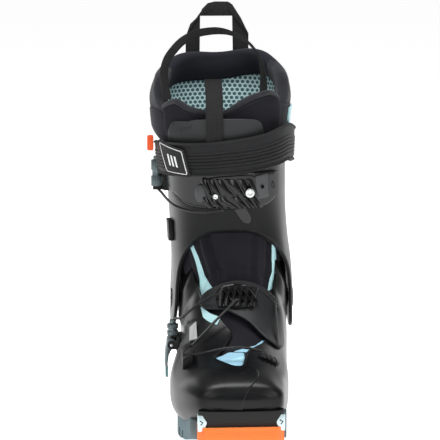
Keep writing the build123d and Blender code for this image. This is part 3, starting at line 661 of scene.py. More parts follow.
def woven(name, colour, second, pitch, depth=0.5, rough=0.85, sheen=0.25, rise=0.15, slant=False):
    """Woven or knitted cloth: two crossing sets of threads, a pitch apart in mm, with a little fluff."""
    material, nodes, links, shader = start_material(name, rough, 0.25, sheen=sheen)
    place = nodes.new("ShaderNodeAttribute")
    place.attribute_name = "lay"
    split = nodes.new("ShaderNodeSeparateXYZ")
    links.new(place.outputs["Vector"], split.inputs[0])
    u, v = split.outputs[0], split.outputs[1]
    if slant:
        u, v = math_node(nodes, links, "ADD", u, v), math_node(nodes, links, "SUBTRACT", u, v)
    turn = 2 * math.pi / pitch
    a = math_node(nodes, links, "SINE", math_node(nodes, links, "MULTIPLY", u, turn))
    b = math_node(nodes, links, "SINE", math_node(nodes, links, "MULTIPLY", v, turn))
    cross = math_node(nodes, links, "MULTIPLY", a, b)
    cross = ranged(nodes, links, cross, -1, 1, 0, 1)
    fluff = noise(nodes, links, 700, 4)
    height = math_node(nodes, links, "ADD", cross, math_node(nodes, links, "MULTIPLY", fluff, 0.5))
    slow = noise(nodes, links, 40, 3)
    tone = mixed(nodes, links, cross, colour, second)
    darker = tuple(c * 0.6 for c in colour)
    tone = mixed(nodes, links, ranged(nodes, links, slow, 0.4, 0.75, 0, 0.5), tone, darker)
    links.new(tone, shader.inputs["Base Color"])
    bump(nodes, links, shader, height, depth, rise)
    return material


def honeycomb(name, pale, dark, pitch):
    """Spacer mesh: a pale web round dark six-sided holes, a pitch apart in mm."""
    material, nodes, links, shader = start_material(name, 0.7, 0.25, sheen=0.1)
    place = nodes.new("ShaderNodeAttribute")
    place.attribute_name = "lay"

    def vector(operation, first, second=None):
        """One step of vector arithmetic."""
        node = nodes.new("ShaderNodeVectorMath")
        node.operation = operation
        for socket, value in zip(node.inputs, (first, second)):
            if isinstance(value, tuple):
                socket.default_value = value
            elif value is not None:
                links.new(value, socket)
        return node.outputs["Value" if operation == "DOT_PRODUCT" else "Vector"]

    cell = (1, math.sqrt(3), 1)
    half = (0.5, math.sqrt(3) / 2, 0.5)
    spot = vector("MULTIPLY", place.outputs["Vector"], (1 / pitch, 1 / pitch, 0))
    spot = vector("ADD", spot, (1000, 1000, 0.5))
    first = vector("SUBTRACT", vector("MODULO", spot, cell), half)
    shifted = vector("ADD", spot, (0.5, math.sqrt(3) / 2, 0))
    second = vector("SUBTRACT", vector("MODULO", shifted, cell), half)
    first_far, second_far = vector("DOT_PRODUCT", first, first), vector("DOT_PRODUCT", second, second)
    near = math_node(nodes, links, "LESS_THAN", first_far, second_far)
    pick = nodes.new("ShaderNodeMix")
    pick.data_type = "VECTOR"
    links.new(near, pick.inputs["Factor"])
    links.new(second, pick.inputs[4])
    links.new(first, pick.inputs[5])
    size = vector("ABSOLUTE", pick.outputs[1])
    split = nodes.new("ShaderNodeSeparateXYZ")
    links.new(size, split.inputs[0])
    slope = vector("DOT_PRODUCT", size, (0.5, math.sqrt(3) / 2, 0))
    edge = math_node(nodes, links, "MAXIMUM", split.outputs[0], slope)
    web = ranged(nodes, links, edge, 0.3, 0.38, 0, 1)
    slow = noise(nodes, links, 60, 3)
    light = mixed(nodes, links, slow, pale, tuple(c * 0.75 for c in pale))
    links.new(mixed(nodes, links, web, dark, light), shader.inputs["Base Color"])
    bump(nodes, links, shader, web, 0.8, 0.7)
    return material


def lay_attribute(obj, values):
    """Stores where each point lies on the flat cloth, in mm, for the weave."""
    attribute = obj.data.attributes.new("lay", "FLOAT_VECTOR", "POINT")
    attribute.data.foreach_set("vector", [c for value in values for c in (*value, 0.0)])


def lay_grid(obj, per_ring, across, along):
    """The same for rings of points: their spacing round a ring and from ring to ring."""
    rings = len(obj.data.vertices) // per_ring
    lay_attribute(obj, [(j * across, i * along) for i in range(rings) for j in range(per_ring)])


def lay_from_place(obj, axis):
    """The same for a piece that is nearly flat across an axis."""
    u, v = {"x": (1, 2), "y": (0, 2), "z": (0, 1)}[axis]
    lay_attribute(obj, [(p.co[u] / MM, p.co[v] / MM) for p in obj.data.vertices])


black_shell = moulded("shell_black", (0.0032, 0.0034, 0.004), 0.31, 1.0, 0.1, 1300, tint=0.24)
cuff_black = moulded("cuff_black", (0.0032, 0.0034, 0.004), 0.36, 0.9, 0.1, 1300, tint=0.22)
band_black = moulded("band_black", (0.006, 0.0062, 0.007), 0.25, 0.45, 0.06, 1300)
flap_grey = moulded("flap_grey", (0.011, 0.0115, 0.0125), 0.45, 0.7, 0.3, 900, 1.6, tint=0.35)
tongue_grey = moulded("tongue_grey", (0.02, 0.021, 0.022), 0.45, 0.28, 0.15, 1000)
rack_black = moulded("rack_black", (0.003, 0.003, 0.0034), 0.2, 0.38, 0.05, 1200)
trim_black = moulded("trim_black", (0.004, 0.0042, 0.0046), 0.45, 0.6, 0.2, 1000, tint=0.3)
rubber_black = moulded("rubber_black", (0.008, 0.0082, 0.0085), 0.6, 0.3, 0.5, 700)
rubber_grey = moulded("rubber_grey", (0.085, 0.135, 0.15), 0.6, 0.25, 0.4, 700)
rubber_orange = moulded("rubber_orange", (1.0, 0.2, 0.045), 0.55, 0.2, 0.4, 600, 1.05, cloud=25)
steel = moulded("steel", (0.6, 0.62, 0.62), 0.3, 0.5, 0.2, 1600, 1.15, 1.0)
pale_steel = moulded("pale_steel", (0.5, 0.62, 0.65), 0.3, 0.5, 0.2, 1600, 1.2, 0.6)
alloy = moulded("alloy", (0.11, 0.14, 0.148), 0.38, 0.4, 0.15, 1500, 1.3, 0.7)
plate_grey = moulded("plate_grey", (0.35, 0.36, 0.36), 0.42, 0.4, 0.15, 1200, 1.15, 0.2)
end_grey = moulded("end_grey", (0.04, 0.042, 0.044), 0.38, 0.4, 0.15, 1200)
teal_plastic = moulded("teal_plastic", (0.1, 0.24, 0.23), 0.45, 0.35, 0.2, 1000)
orange_plastic = moulded("orange_plastic", (0.85, 0.1, 0.025), 0.5, 0.3, 0.3, 900)
cable_black = moulded("cable_black", (0.006, 0.006, 0.0065), 0.35, 0.4, 0.3, 2500)
board_grey = moulded("board_grey", (0.08, 0.08, 0.08), 0.7, 0.2, 0.3, 600)
white_print = moulded("white_print", (0.75, 0.76, 0.76), 0.5, 0.3, 0.1, 900, 1.1)
# Near-black painted shade for the inside of a hole that is drawn as a disc, not cut.
painted_hole_shade = moulded("painted_hole_shade", (0.001, 0.001, 0.001), 0.8, 0.1, 0.1, 900)
navy_cloth = woven("navy_cloth", (0.0075, 0.008, 0.0125), (0.012, 0.0125, 0.019), 1.1, 0.25, 0.85, 0.1, 0.1)
charcoal_mesh = woven(
    "charcoal_mesh", (0.004, 0.004, 0.006), (0.035, 0.036, 0.045), 1.7, 0.8, 0.85, 0.2, 0.4, True,
)
gaiter_cloth = woven(
    "gaiter_cloth", (0.0055, 0.0055, 0.0085), (0.009, 0.009, 0.014), 0.9, 0.2, 0.8, 0.08, 0.08,
)
webbing_black = woven(
    "webbing_black", (0.0045, 0.0045, 0.005), (0.016, 0.016, 0.0175), 1.3, 0.7, 0.65, 0.06, 0.3, True,
)
strap_cloth = woven(
    "strap_cloth", (0.004, 0.0042, 0.0048), (0.016, 0.0165, 0.018), 1.6, 0.6, 0.6, 0.05, 0.25, True,
)
lining = honeycomb("lining", (0.72, 0.97, 0.99), (0.07, 0.15, 0.17), 4.4)
teal_film = moulded("teal_film", (0.4, 0.64, 0.67), 0.5, 0.3, 0.2, 1200, 1.1)
blue_film = moulded("blue_film", (0.34, 0.6, 0.76), 0.45, 0.3, 0.2, 1200, 1.1)

# ------------------------------------------------------------------ lower shell
body_skin = foot_skin("body_skin", 0.0)
shell_surface = surface_of(body_skin)
bpy.data.objects.remove(body_skin)
THROAT = [
    (-38, 90), (-37, 55), (-31, 25), (-26, 0), (-13, -11), (-2, -29), (-12, -50), (-22, -63),
    (-4, -80), (5, -80), (11, -54), (29, -38), (36, -15), (41, 10), (42, 40), (42, 90),
]
throat_edge = rounded(THROAT, 5, 6)


shell = foot_skin("lower_boot_shell", 0.0)
# Beside the ankle the shell swells out until it nearly fills the cuff.
inside_skin = level_skin("cuff_inside", CUFF, -CUFF_WALL, 60, 190)
cuff_inside = surface_of(inside_skin)
bpy.data.objects.remove(inside_skin)
for vertex in shell.data.vertices:
    x, y, z = vertex.co / MM
    reach_out = ramp(z, 76, 92) * ramp(y, -98, -86) * ramp(abs(x - 4), 18, 32)
    reach_out *= ramp(math.hypot(y - ANKLE_Y, z - ANKLE_Z), 13, 22)
    if reach_out > 0:
        side = math.copysign(1, x - 4)
        hit = cuff_inside.ray_cast(Vector((x, y, z)), Vector((side, 0, 0)))
        if hit[0]:
            vertex.co.x += side * reach_out * min(5.0, max(0.0, hit[3] - 1.8)) * MM
boolean(shell, block("above", (-200, -300, 160), (200, 200, 300)))
boolean(shell, foot_skin("hollow", -WALL, 0.9, len(SHELL) - 1.0))
boolean(shell, prism("throat_cut", throat_edge, INSTEP, -20, 60), crossing=True)
boolean(shell, ankle_bar("pivot_holes", BOLT_HOLE, -80, 80), crossing=True)
tidy_normals(shell)
paint(shell, black_shell)

CORNER = 7  # points that round one corner of the throat; its two top corners carry no lip
LIP_SHORT = 7  # how many points the lip stops short of the inner side's top corner
throat_sides = densify(throat_edge[CORNER - 1:1 - CORNER], 1.5, closed=False)
opening_lip = []
for u, v in throat_sides[:-LIP_SHORT]:
    point = lay(shell_surface, INSTEP, u, v, -1.5)
    if point.z < 158:
        opening_lip.append(point)
throat_lip = paint(bead("throat_lip", opening_lip, 1.7), black_shell)

# The outer side of the toe box laps over the inner side: a step that fades out away from its edge.
SEAM = [(6, -80), (14, -83), (17, -89), (16, -98), (10, -108), (5, -116), (2, -124), (1, -131)]


def seam_point(t, away, height):
    """A point beside the seam: t along it, away from it and above the shell."""
    u, v = blend_rows(SEAM, t)
    after = Vector(blend_rows(SEAM, min(t + 0.05, len(SEAM) - 1)))
    ahead = after - Vector(blend_rows(SEAM, max(t - 0.05, 0)))
    across = Vector((ahead[1], -ahead[0])).normalized()
    return lay(shell_surface, INSTEP, u + across[0] * away, v + across[1] * away, height)


SEAM_STEPS = 56
FADE = 22  # how far from the seam the step has faded out
seam_rows = []
for i in range(SEAM_STEPS + 1):
    t = (len(SEAM) - 1) * i / SEAM_STEPS
    row = [seam_point(t, -0.1, -0.5), seam_point(t, 0.0, 0.55), seam_point(t, 0.5, 0.8)]
    for far in (2, 4, 7, 10, 14, 18, FADE):
        row.append(seam_point(t, far, 0.85 * (1 - far / FADE) ** 1.5 - 0.04))
    seam_rows.append(row)
overlap = open_sheet("toe_overlap", seam_rows)
paint(overlap, black_shell)
whole_shell = join("boot_shell", [shell, throat_lip, overlap])
finish(whole_shell, black_shell, "foot", "lower_shell")

# ------------------------------------------------------------------ gaiter and the coloured trims on it
GAITER_ROWS, GAITER_COLUMNS = 90, 97
ON_FOOT = 0.62  # the share of the rows that follow the foot; the rest follow the shin
FIRST_ROW, LAST_ROW = 4.6, 9.75  # places along the rows of SHELL


def front_skin():
    """The front of the ankle under the shell: up the instep and on up the shin, as rows of points."""
    rows = []
    for i in range(GAITER_ROWS):
        f = i / (GAITER_ROWS - 1)
        row = []
        for j in range(GAITER_COLUMNS):
            angle = math.radians(8 + 164 * j / (GAITER_COLUMNS - 1))
            if f < ON_FOOT:
                row.append(foot_point(FIRST_ROW + (LAST_ROW - FIRST_ROW) * f / ON_FOOT, angle, -4.6))
            else:
                g = (f - ON_FOOT) / (1 - ON_FOOT)
                high = level_point(LINER, 157 + 50 * g, -angle, 1.2)
                base = foot_point(LAST_ROW, angle, -4.6)
                row.append(base.lerp(high, ramp(g, 0, 0.3)) if g < 0.3 else high)
        rows.append(row)
    return rows


def folded(base_rows):
    """The same rows with fine folds across the ankle and calm edges."""
    rows = []
    for i, base_row in enumerate(base_rows):
        row = []
        for j, point in enumerate(base_row):
            f, g = i / (GAITER_ROWS - 1), j / (GAITER_COLUMNS - 1)
            after, before = base_rows[min(i + 1, GAITER_ROWS - 1)][j], base_rows[max(i - 1, 0)][j]
            across = base_row[min(j + 1, GAITER_COLUMNS - 1)] - base_row[max(j - 1, 0)]
            normal = (after - before).cross(across).normalized()
            if normal.y > 0:
                normal = -normal
            calm = unit((point.z - 108) / 22) * min(1.0, g / 0.12, (1 - g) / 0.12)
            swell = 0.55 + 0.45 * math.sin(g * 17 + 1.3 + f * 3)
            fold = math.sin(g * 57 + 1.4 * math.sin(f * 9 + 2)) * swell
            fold += 0.5 * math.sin(g * 96 + 2.0 * math.sin(f * 6)) * math.sin(f * 7 + g * 9)
            wave = 0.35 * math.sin(f * 60 + g * 11) * (1 - calm)
            row.append(point + normal * (1.9 * fold * calm + wave))
        rows.append(row)
    return rows


gaiter = open_sheet("gaiter_cloth", folded(front_skin()))
lay_grid(gaiter, GAITER_COLUMNS, 1.6, 1.9)
paint(gaiter, gaiter_cloth)
gaiter_surface = surface_of(gaiter)
cloth = gaiter.modifiers.new("cloth", "SOLIDIFY")
cloth.thickness = 1.0 * MM
apply_modifiers(gaiter)
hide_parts("gaiter")
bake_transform(gaiter)


def trim(name, outline, view, material, height=0.25, thickness=0.5, smooth=3):
    """A flat film on the gaiter."""
    place = over(gaiter_surface, view)
    film = patch(name, rounded(outline, smooth, 4), place, height, thickness, rings=6, edge=0.25)
    return paint(film, material)


FRONT_TRIMS = {
    "outer_trim": [
        (-39.4, 166), (-36.4, 166), (-33, 158), (-29, 149), (-26, 140), (-22.5, 129), (-17, 121),
        (-13, 117), (-22, 113), (-27.5, 114.5), (-28, 128), (-31, 142), (-35, 154),
    ],
    "inner_trim": [
        (38.4, 168), (41.8, 168), (42.4, 146), (43, 128), (42.2, 119), (34, 117.5), (33.5, 119.5),
        (37.8, 123), (38.2, 132), (38, 146),
    ],
}
trims = [trim(name, outline, FRONT, teal_film) for name, outline in FRONT_TRIMS.items()]
WEDGE = [(-28, 107), (-26.5, 98.5), (-22, 96), (-14.5, 93.8), (-11, 99.5), (-20, 102)]
on_shell_front = over(shell_surface, FRONT)
wedge = patch("flap_wedge", rounded(WEDGE, 1.5, 4), on_shell_front, 0.3, 0.6, rings=6, edge=0.25)
trims.append(paint(wedge, teal_film))
for piece in trims:
    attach(piece, "foot")
TOE_TRIMS = [
    [(-21, -61.5), (-13, -59), (-6, -53.5), (7.5, -54), (7.5, -62), (3.5, -78), (-4.5, -78)],
    [(-2, -52.5), (9, -47.5), (20, -41), (26, -32.5), (30, -34), (29.5, -39.5), (12, -53)],
]
lower_trims = []
for i, outline in enumerate(TOE_TRIMS):
    lower_trims.append(trim(f"toe_trim_{i}", outline, INSTEP, blue_film, 0.3, 0.6, 2))
finish(join("toe_trims", lower_trims), blue_film, "foot", "throat_patches")

# ------------------------------------------------------------------ instep flap, rack and cables
FLAP = [
    (-27, 11), (-22, 15.5), (-14, 18.5), (-4, 21.2), (6, 22.3), (18, 21), (28, 18), (36, 14), (42, 9.5),
    (44.5, 4), (45, -14), (44.5, -32), (41, -40), (34, -38), (26, -31), (15, -17), (4, -9), (-6, -3.5),
    (-16, -1.5), (-24, 1), (-27.5, 7),
]
flap_outline = smooth_closed(FLAP, 5)
on_instep = over(shell_surface, INSTEP)
flap = paint(patch("instep_flap_skin", flap_outline, on_instep, 0.3, 2.3, rings=14, edge=0.9), flap_grey)
flap_surface = surface_of(flap)
RIDGE = [(-22, 7), (-14, 13), (-2, 17.5), (10, 18), (24, 15.5), (34, 11), (43, 3)]
on_flap = over(flap_surface, INSTEP)
ridge_points = [on_flap(*blend_rows(RIDGE, i / 10), 0.1) for i in range(10 * len(RIDGE) - 9)]
ridge = paint(bead("flap_ridge", ridge_points, 0.8), flap_grey)
lip_points = [on_instep(u, v, 1.6) for u, v in densify(flap_outline, 2) if u < 39]
flap_lip = paint(bead("flap_lip", lip_points, 1.15), flap_grey)
finish(join("flap_whole", [flap, ridge, flap_lip]), flap_grey, "foot", "instep_flap")


def teeth(name, place, first, step, count, low, high, lean, width, height, material):
    """A row of slanted rack teeth, each a rounded ridge that stands up at one side."""
    ridge_section = [(0, 0), (0.06, 0.75), (0.2, 1.0), (0.42, 0.92), (0.7, 0.55), (0.93, 0.22), (1, 0)]
    parts = []
    for k in range(count):
        x = first + step * k
        rows = []
        for i in range(9):
            f = i / 8
            v = low + (high - low) * f
            u = x + lean * f
            end = math.sin(math.pi * (0.08 + 0.84 * f)) ** 0.35
            foot, rise = height[0], height[1] * end
            rows.append([place(u + width * a, v, foot + rise * b) for a, b in ridge_section])
        parts.append(paint(closed_skin(f"{name}_{k}", rows), material))
    return parts


RACK = [
    (-14, 4), (-13, 14.5), (-9, 18), (3, 20), (14, 18.5), (20, 15.5), (21.5, 4), (18, -1), (5, -4),
    (-8, -2),
]
rack_base = paint(patch("rack_base", rounded(RACK, 3), on_instep, 2.6, 2.4, rings=6, edge=0.7), rack_black)
rack_parts = teeth("rack_tooth", on_instep, -13, 5.4, 6, -2, 17, 4, 5.0, (4.4, 3.6), rack_black)
rack_parts += teeth("rack_cross", on_instep, -8, 5.4, 5, 14.5, 3, 6.5, 3.2, (5.4, 3.4), rack_black)
finish(join("instep_rack_detail", [rack_base, *rack_parts]), rack_black, "foot", "instep_rack")

CABLES = {
    "upper_instep_cable": [
        (-50.5, -93, 92), (-48.5, -100, 93), (-44.5, -108, 96), (-37, -116, 105), (-27, -119.5, 113),
        (-19, -122, 118.5), (-12.5, -124.5, 121),
    ],
    "lower_instep_cable": [
        (3, -130.5, 117), (-2, -133, 112.5), (-9, -136.5, 106), (-17, -142, 99.5), (-27, -150, 91),
        (-34, -156.5, 86), (-39, -161, 82),
    ],
    "forefoot_cable": [
        (-43.5, -172, 76.5), (-36, -177, 78), (-26, -180.5, 80.5), (-14, -181, 83.5), (-2, -179.5, 84.3),
        (8, -178.5, 83.6), (16, -178.8, 82), (22, -178.8, 80.5),
    ],
    "upper_cable": [
        (-64.8, -50, 205.5), (-62, -58, 204), (-58.5, -70, 200.5), (-53, -88, 197), (-45, -99, 194.5),
        (-33, -108, 193), (-20, -112.5, 193), (-8, -115.5, 195.5),
    ],
}
CABLE_RADIUS = 1.2
for cable_name, route in CABLES.items():
    run = cable(f"{cable_name}_run", route, CABLE_RADIUS, cable_black)
    finish(run, cable_black, BODY_OF[cable_name], cable_name)

# ------------------------------------------------------------------ cuff
CUFF_OUTLINE = [
    (-130, 177), (-105, 176.5), (-102, 174), (-97, 167), (-91, 158), (-84, 147), (-78, 135), (-75, 120),
    (-76, 105), (-74, 91), (-65, 79), (-50, 75), (-38, 79), (-28, 90), (-20, 110), (-8, 128), (8, 140),
    (27, 148), (60, 150), (60, 262), (5, 262), (-60, 250), (-95, 243), (-130, 242),
]
cuff = level_skin("cuff_whole", CUFF, 0.0, 58, 285)
boolean(cuff, level_skin("cuff_hollow", CUFF, -CUFF_WALL, 50, 290, 60))
boolean(cuff, prism("cuff_outline", rounded(CUFF_OUTLINE, 7, 5), SIDE, -90, 90), "INTERSECT")
boolean(cuff, ankle_bar("bolt_seat_outer", BOLT_SEAT, -80, -51.1))
boolean(cuff, ankle_bar("bolt_seat_inner", BOLT_SEAT, 59.2, 80))
boolean(cuff, ankle_bar("bolt_holes", BOLT_HOLE, -90, 90))
tidy_normals(cuff)
cuff_surface = surface_of(cuff)
paint(cuff, cuff_black)


def cuff_rim(line, out):
    """Where a side outline, given as (y, z), lies on the inner (1) and the outer (-1) side of the cuff."""
    sides = {1: [], -1: []}
    for y, z in line:
        i, above = bracket(CUFF, z)
        _, front, rear, _, _, power = blend_rows(CUFF, i + above)
        share = (y - (front + rear) / 2) / ((rear - front) / 2)
        s = math.copysign(min(1.0, abs(share)) ** (1 / power), share)
        rise = math.asin(max(-1.0, min(1.0, s)))
        sides[1].append(level_point(CUFF, z, rise, out))
        sides[-1].append(level_point(CUFF, z, math.pi - rise, out))
    return sides


# The cuff's lower edge from its front corner to the back, rounded by a lip.
whole_line = densify(rounded(CUFF_OUTLINE, 7, 5), 1.5)
low_line = [p for p in whole_line if p[1] < 178 and -106 < p[0] < 28]
corner = min(range(len(low_line)), key=lambda i: low_line[i][0] - (low_line[i][1] > 170) * 50)
edge_sides = cuff_rim(low_line[corner:] + low_line[:corner], -1.35)
lip_line = []
for point in list(reversed(edge_sides[-1])) + edge_sides[1]:
    if not lip_line or (point - lip_line[-1]).length > 1.2:
        lip_line.append(point)
cuff_lip = paint(bead("cuff_lip", lip_line, 1.55), cuff_black)

# The raised front band, its edges rounded.
BAND_TABLE = [
    (187, 209, 230), (200, 208, 230), (215, 206, 230), (228, 199.5, 229.5), (240, 197, 229.5),
    (252, 196, 229.5),
    (270, 195.5, 229.5), (288, 196, 229), (300, 198.5, 229), (310, 203, 229), (316, 208.5, 228.5),
]
BLOCK_SECTION = [
    (0, 0), (0, 0.55), (0.012, 0.85), (0.035, 1.0), (0.1, 1.0), (0.25, 1.0), (0.4, 1.0), (0.55, 1.0),
    (0.7, 1.0),
    (0.85, 1.0), (0.965, 1.0), (0.988, 0.85), (1, 0.55), (1, 0), (0.75, 0), (0.5, 0), (0.25, 0),
]
cuff_place = round_form(CUFF)
band_columns = between(BAND_TABLE, 187, 316, 90)


def band_place(angle, z, rise):
    """Over the cuff: the band's back is at a rise of 0 and its face at 1."""
    return cuff_place(angle, z, 0.3 + 2.4 * rise)


band = wrap("band", band_place, band_columns, BLOCK_SECTION)
finish(band, band_black, "cuff", "cuff_band")
finish(join("cuff_body", [cuff, cuff_lip]), cuff_black, "cuff", "cuff_shell")

# ------------------------------------------------------------------ the upper rack and its end plate
UPPER_RACK = [
    (250, 199), (249.5, 218), (252, 222.5), (262, 225.5), (275, 227), (286, 226.5), (287.5, 224),
    (288, 205), (286, 197), (270, 195), (254, 195.5),
]
upper_base = patch("upper_rack_base", rounded(UPPER_RACK, 2), cuff_place, 2.7, 2.2, rings=6, edge=0.7)
paint(upper_base, rack_black)
upper_parts = teeth("upper_tooth", cuff_place, 249, 6.0, 6, 223.5, 207, 5.5, 5.4, (4.4, 3.4), rack_black)
upper_parts += teeth("upper_low_tooth", cuff_place, 250, 6.4, 6, 207, 196.5, 6, 4.6, (4.6, 2.6), rack_black)
finish(join("upper_rack_detail", [upper_base, *upper_parts]), rack_black, "cuff", "upper_rack")

END_PLATE = [(287.5, 204), (287, 225.5), (299.5, 228), (300, 206)]
plate_outline = densify(rounded(END_PLATE, 1.2, 3), 2.0)
plate = paint(patch("plate_body", plate_outline, cuff_place, 2.7, 2.2, rings=6, edge=0.5), end_grey)
# The hole is not cut: a near-black disc on the plate's face is painted shade for its inside, with a rim
# round it.
HOLE = [(293.4 + 2.1 * math.cos(a), 215.9 + 2.3 * math.sin(a)) for a in angles(28)]
hole_shade = paint(patch("plate_hole", HOLE, cuff_place, 4.9, 0.12, rings=4, edge=0.05), painted_hole_shade)
hole_rim_line = [cuff_place(u, v, 4.95) for u, v in HOLE]
hole_rim = paint(bead("plate_hole_rim", hole_rim_line, 0.4, closed=True), end_grey)
finish(join("end_plate_detail", [plate, hole_shade, hole_rim]), end_grey, "cuff", "end_plate")
NUB = [
    (243.6, 206), (243.2, 213), (245, 217), (248.5, 218), (252.3, 215.5), (253.3, 209), (252, 203),
    (247, 201.5),
]
nub = patch("nub_cap", smooth_closed(NUB, 5), cuff_place, 2.7, 2.8, rings=8, crown=0.8, edge=0.9)
finish(nub, end_grey, "cuff", "rack_nub")
hex_turns = angles(6, math.pi / 6, math.pi / 6 + 2 * math.pi)
HEX = [(308.5 + 1.9 * math.cos(a), 216 + 3.4 * math.sin(a)) for a in hex_turns]
recess = bead("hex_recess", [cuff_place(u, v, 2.9) for u, v in densify(HEX, 0.7)], 0.35, closed=True)
finish(recess, band_black, "cuff", slot="black_shell")

# ------------------------------------------------------------------ tongue of the cuff
TONGUE = [
    (220, 240), (221.5, 256), (224.5, 265.4), (229, 272.8), (234, 275.6), (240, 276.8), (246, 277.4),
    (257, 278.2), (270.1, 278.5), (280, 278.3), (289.4, 277.6), (295, 276.5), (299, 273.5), (302, 266),
    (303, 240),
]


def tongue_place(angle, z, rise):
    """Against the inside of the cuff, but never under the padding of the liner."""
    turn = math.radians(angle)
    choices = (level_point(CUFF, z, turn, rise), level_point(LINER, z, turn, rise + 8.0))
    return max(choices, key=lambda p: math.hypot(p.x + 4, p.y + 45))


tongue_outline = densify(rounded(TONGUE, 3, 3), 3.0)
tongue = patch("cuff_tongue_skin", tongue_outline, tongue_place, -3.2, 2.3, rings=12, edge=0.8)
facet_line = [tongue_place(235 + (z - 240) * 0.06, z, -0.95) for z in range(240, 276, 2)]
facet = paint(bead("tongue_facet", facet_line, 0.45), tongue_grey)
paint(tongue, tongue_grey)
finish(join("cuff_tongue_whole", [tongue, facet]), tongue_grey, "cuff", "cuff_tongue")

# ------------------------------------------------------------------ power strap
STRAP_TABLE = [
    (187, 223, 252.5), (202, 223.5, 254), (220, 224, 255.5), (243, 226, 256.5), (263, 227.3, 258.2),
    (277, 229, 261.3), (298, 232.4, 265), (312, 234.3, 268.8), (329, 237, 271.4), (345, 234.5, 267.5),
    (360, 229.5, 262), (388, 224, 256),
]


def strap_section(ribs=6, low=0.14, high=0.72, lift=0.42, samples=96):
    """Across the strap: rolled edges, a plain border, and lengthwise ribs in between."""
    section = [(0, 0.1), (0, 0.6), (0.006, 0.85), (0.02, 1.0)]
    for i in range(1, samples):
        across = 0.02 + 0.96 * i / samples
        rise = 1.0
        if low < across < high:
            rise += lift * (abs(math.sin(math.pi * ribs * (across - low) / (high - low))) ** 0.7 - 0.35)
        section.append((across, rise))
    section += [(0.98, 1.0), (0.994, 0.85), (1, 0.6), (1, 0.1), (0.75, 0), (0.5, 0), (0.25, 0)]
    return section


def strap_place(angle, z, rise):
    """Round the strap: its face is at a rise of 1."""
    return level_point(STRAP, z, math.radians(angle), -2.4 + 2.4 * rise)


weave_section = strap_section()
strap_columns = between(STRAP_TABLE, 187, 388, 150)
strap = wrap("strap_cloth", strap_place, strap_columns, weave_section)
lay_grid(strap, len(weave_section), 0.42, 2.0)
finish(strap, strap_cloth, "cuff", "power_strap")
for edge_name, share in (("upper", 0.955), ("lower", 0.05)):
    edge_line = [strap_place(a, low + (high - low) * share, 1.12) for a, low, high in strap_columns]
    edge = bead(f"strap_{edge_name}_binding", edge_line, 1.05, flat=0.6)
    lay_grid(edge, BEAD_SIDES, 0.5, 2.0)
    finish(edge, webbing_black, "cuff", slot="webbing")

# The label: a plain patch with a frame line and three slanted bars in place of any mark.
strap_face = round_form(STRAP, 0.6)
LABEL = [(204.2, 256.8), (237.8, 250.2), (242.8, 225.4), (214.6, 226.6)]
LABEL_MIDDLE = (223.5, 240.5)


def label_outline(shrink):
    """The label's outline, shrunk towards its middle."""
    u0, v0 = LABEL_MIDDLE
    shrunk = [(u0 + (u - u0) * shrink, v0 + (v - v0) * shrink) for u, v in rounded(LABEL, 2.2, 5)]
    return densify(shrunk, 1.5)


label = patch("label_body", label_outline(1.0), strap_face, -0.3, 1.6, rings=8, edge=0.7)
paint(label, rubber_black)
frame_points = [strap_face(u, v, 1.35) for u, v in label_outline(0.84)]
frame_line = paint(bead("label_frame", frame_points, 0.55, closed=True, flat=0.6), white_print)
border_points = [strap_face(u, v, 1.2) for u, v in label_outline(0.97)]
border = paint(bead("label_border", border_points, 0.6, closed=True), rubber_black)
bars = []
for k in range(3):
    u, high, low = 219.5 + 4.1 * k, k * 0.7, k * 0.5
    outline = [
        (u - 1.0, 245 - high), (u + 0.9, 244.7 - high), (u + 3.1, 234.6 - low), (u + 1.2, 234.8 - low),
    ]
    bar = patch(f"label_bar_{k}", densify(outline, 1.0), strap_face, 1.2, 0.35, rings=3, edge=0.1)
    bars.append(paint(bar, white_print))
finish(join("label_whole", [label, frame_line, border, *bars]), rubber_black, "cuff", "strap_patch")

# ------------------------------------------------------------------ liner: collar, lining, tongue and wings
RIM = [
    (-130, 266), (-104, 268), (-98, 271), (-92, 276), (-86, 281), (-78, 285.5), (-70, 291), (-62, 298),
    (-52, 308), (-42, 317), (-32, 324.5), (-20, 329), (0, 330.5), (40, 330.5),
]
LINER_TOP = 329  # the highest level at which the liner's form is used
BACK = [
    (-80, 300), (-60, 316), (-52, 321.5), (-45, 325.5), (-38, 327), (-22, 327), (-7, 325.6), (10, 327.8),
    (23, 330.4), (34, 330.2), (42, 327), (50, 318), (70, 300),
]


def follow(table, key):
    """The second column at a key in the first, level beyond the table's ends."""
    k, share = bracket(table, key)
    return table[k][1] + (table[k + 1][1] - table[k][1]) * unit(share)


def rim_height(angle):
    """The collar's height: the lower of its side view and its rear view at the place where it stands."""
    z = 300.0
    for _ in range(12):
        point = level_point(LINER, min(z, LINER_TOP), angle)
        z = 0.5 * z + 0.5 * min(follow(RIM, point.y), follow(BACK, point.x))
    return z


ROLL = 5.4  # radius of the collar's rolled top
COLLAR_FOOT = 206  # its lower edge
COLLAR_TURNS = 180
INSIDE = 30  # the point of each ring that the lining's weave is lined up with


def roll_depth(top, angle):
    """How far the roll of the collar hangs down inside."""
    return 11 + 7 * unit((top - 290) / 35) - 3 * math.cos(angle)


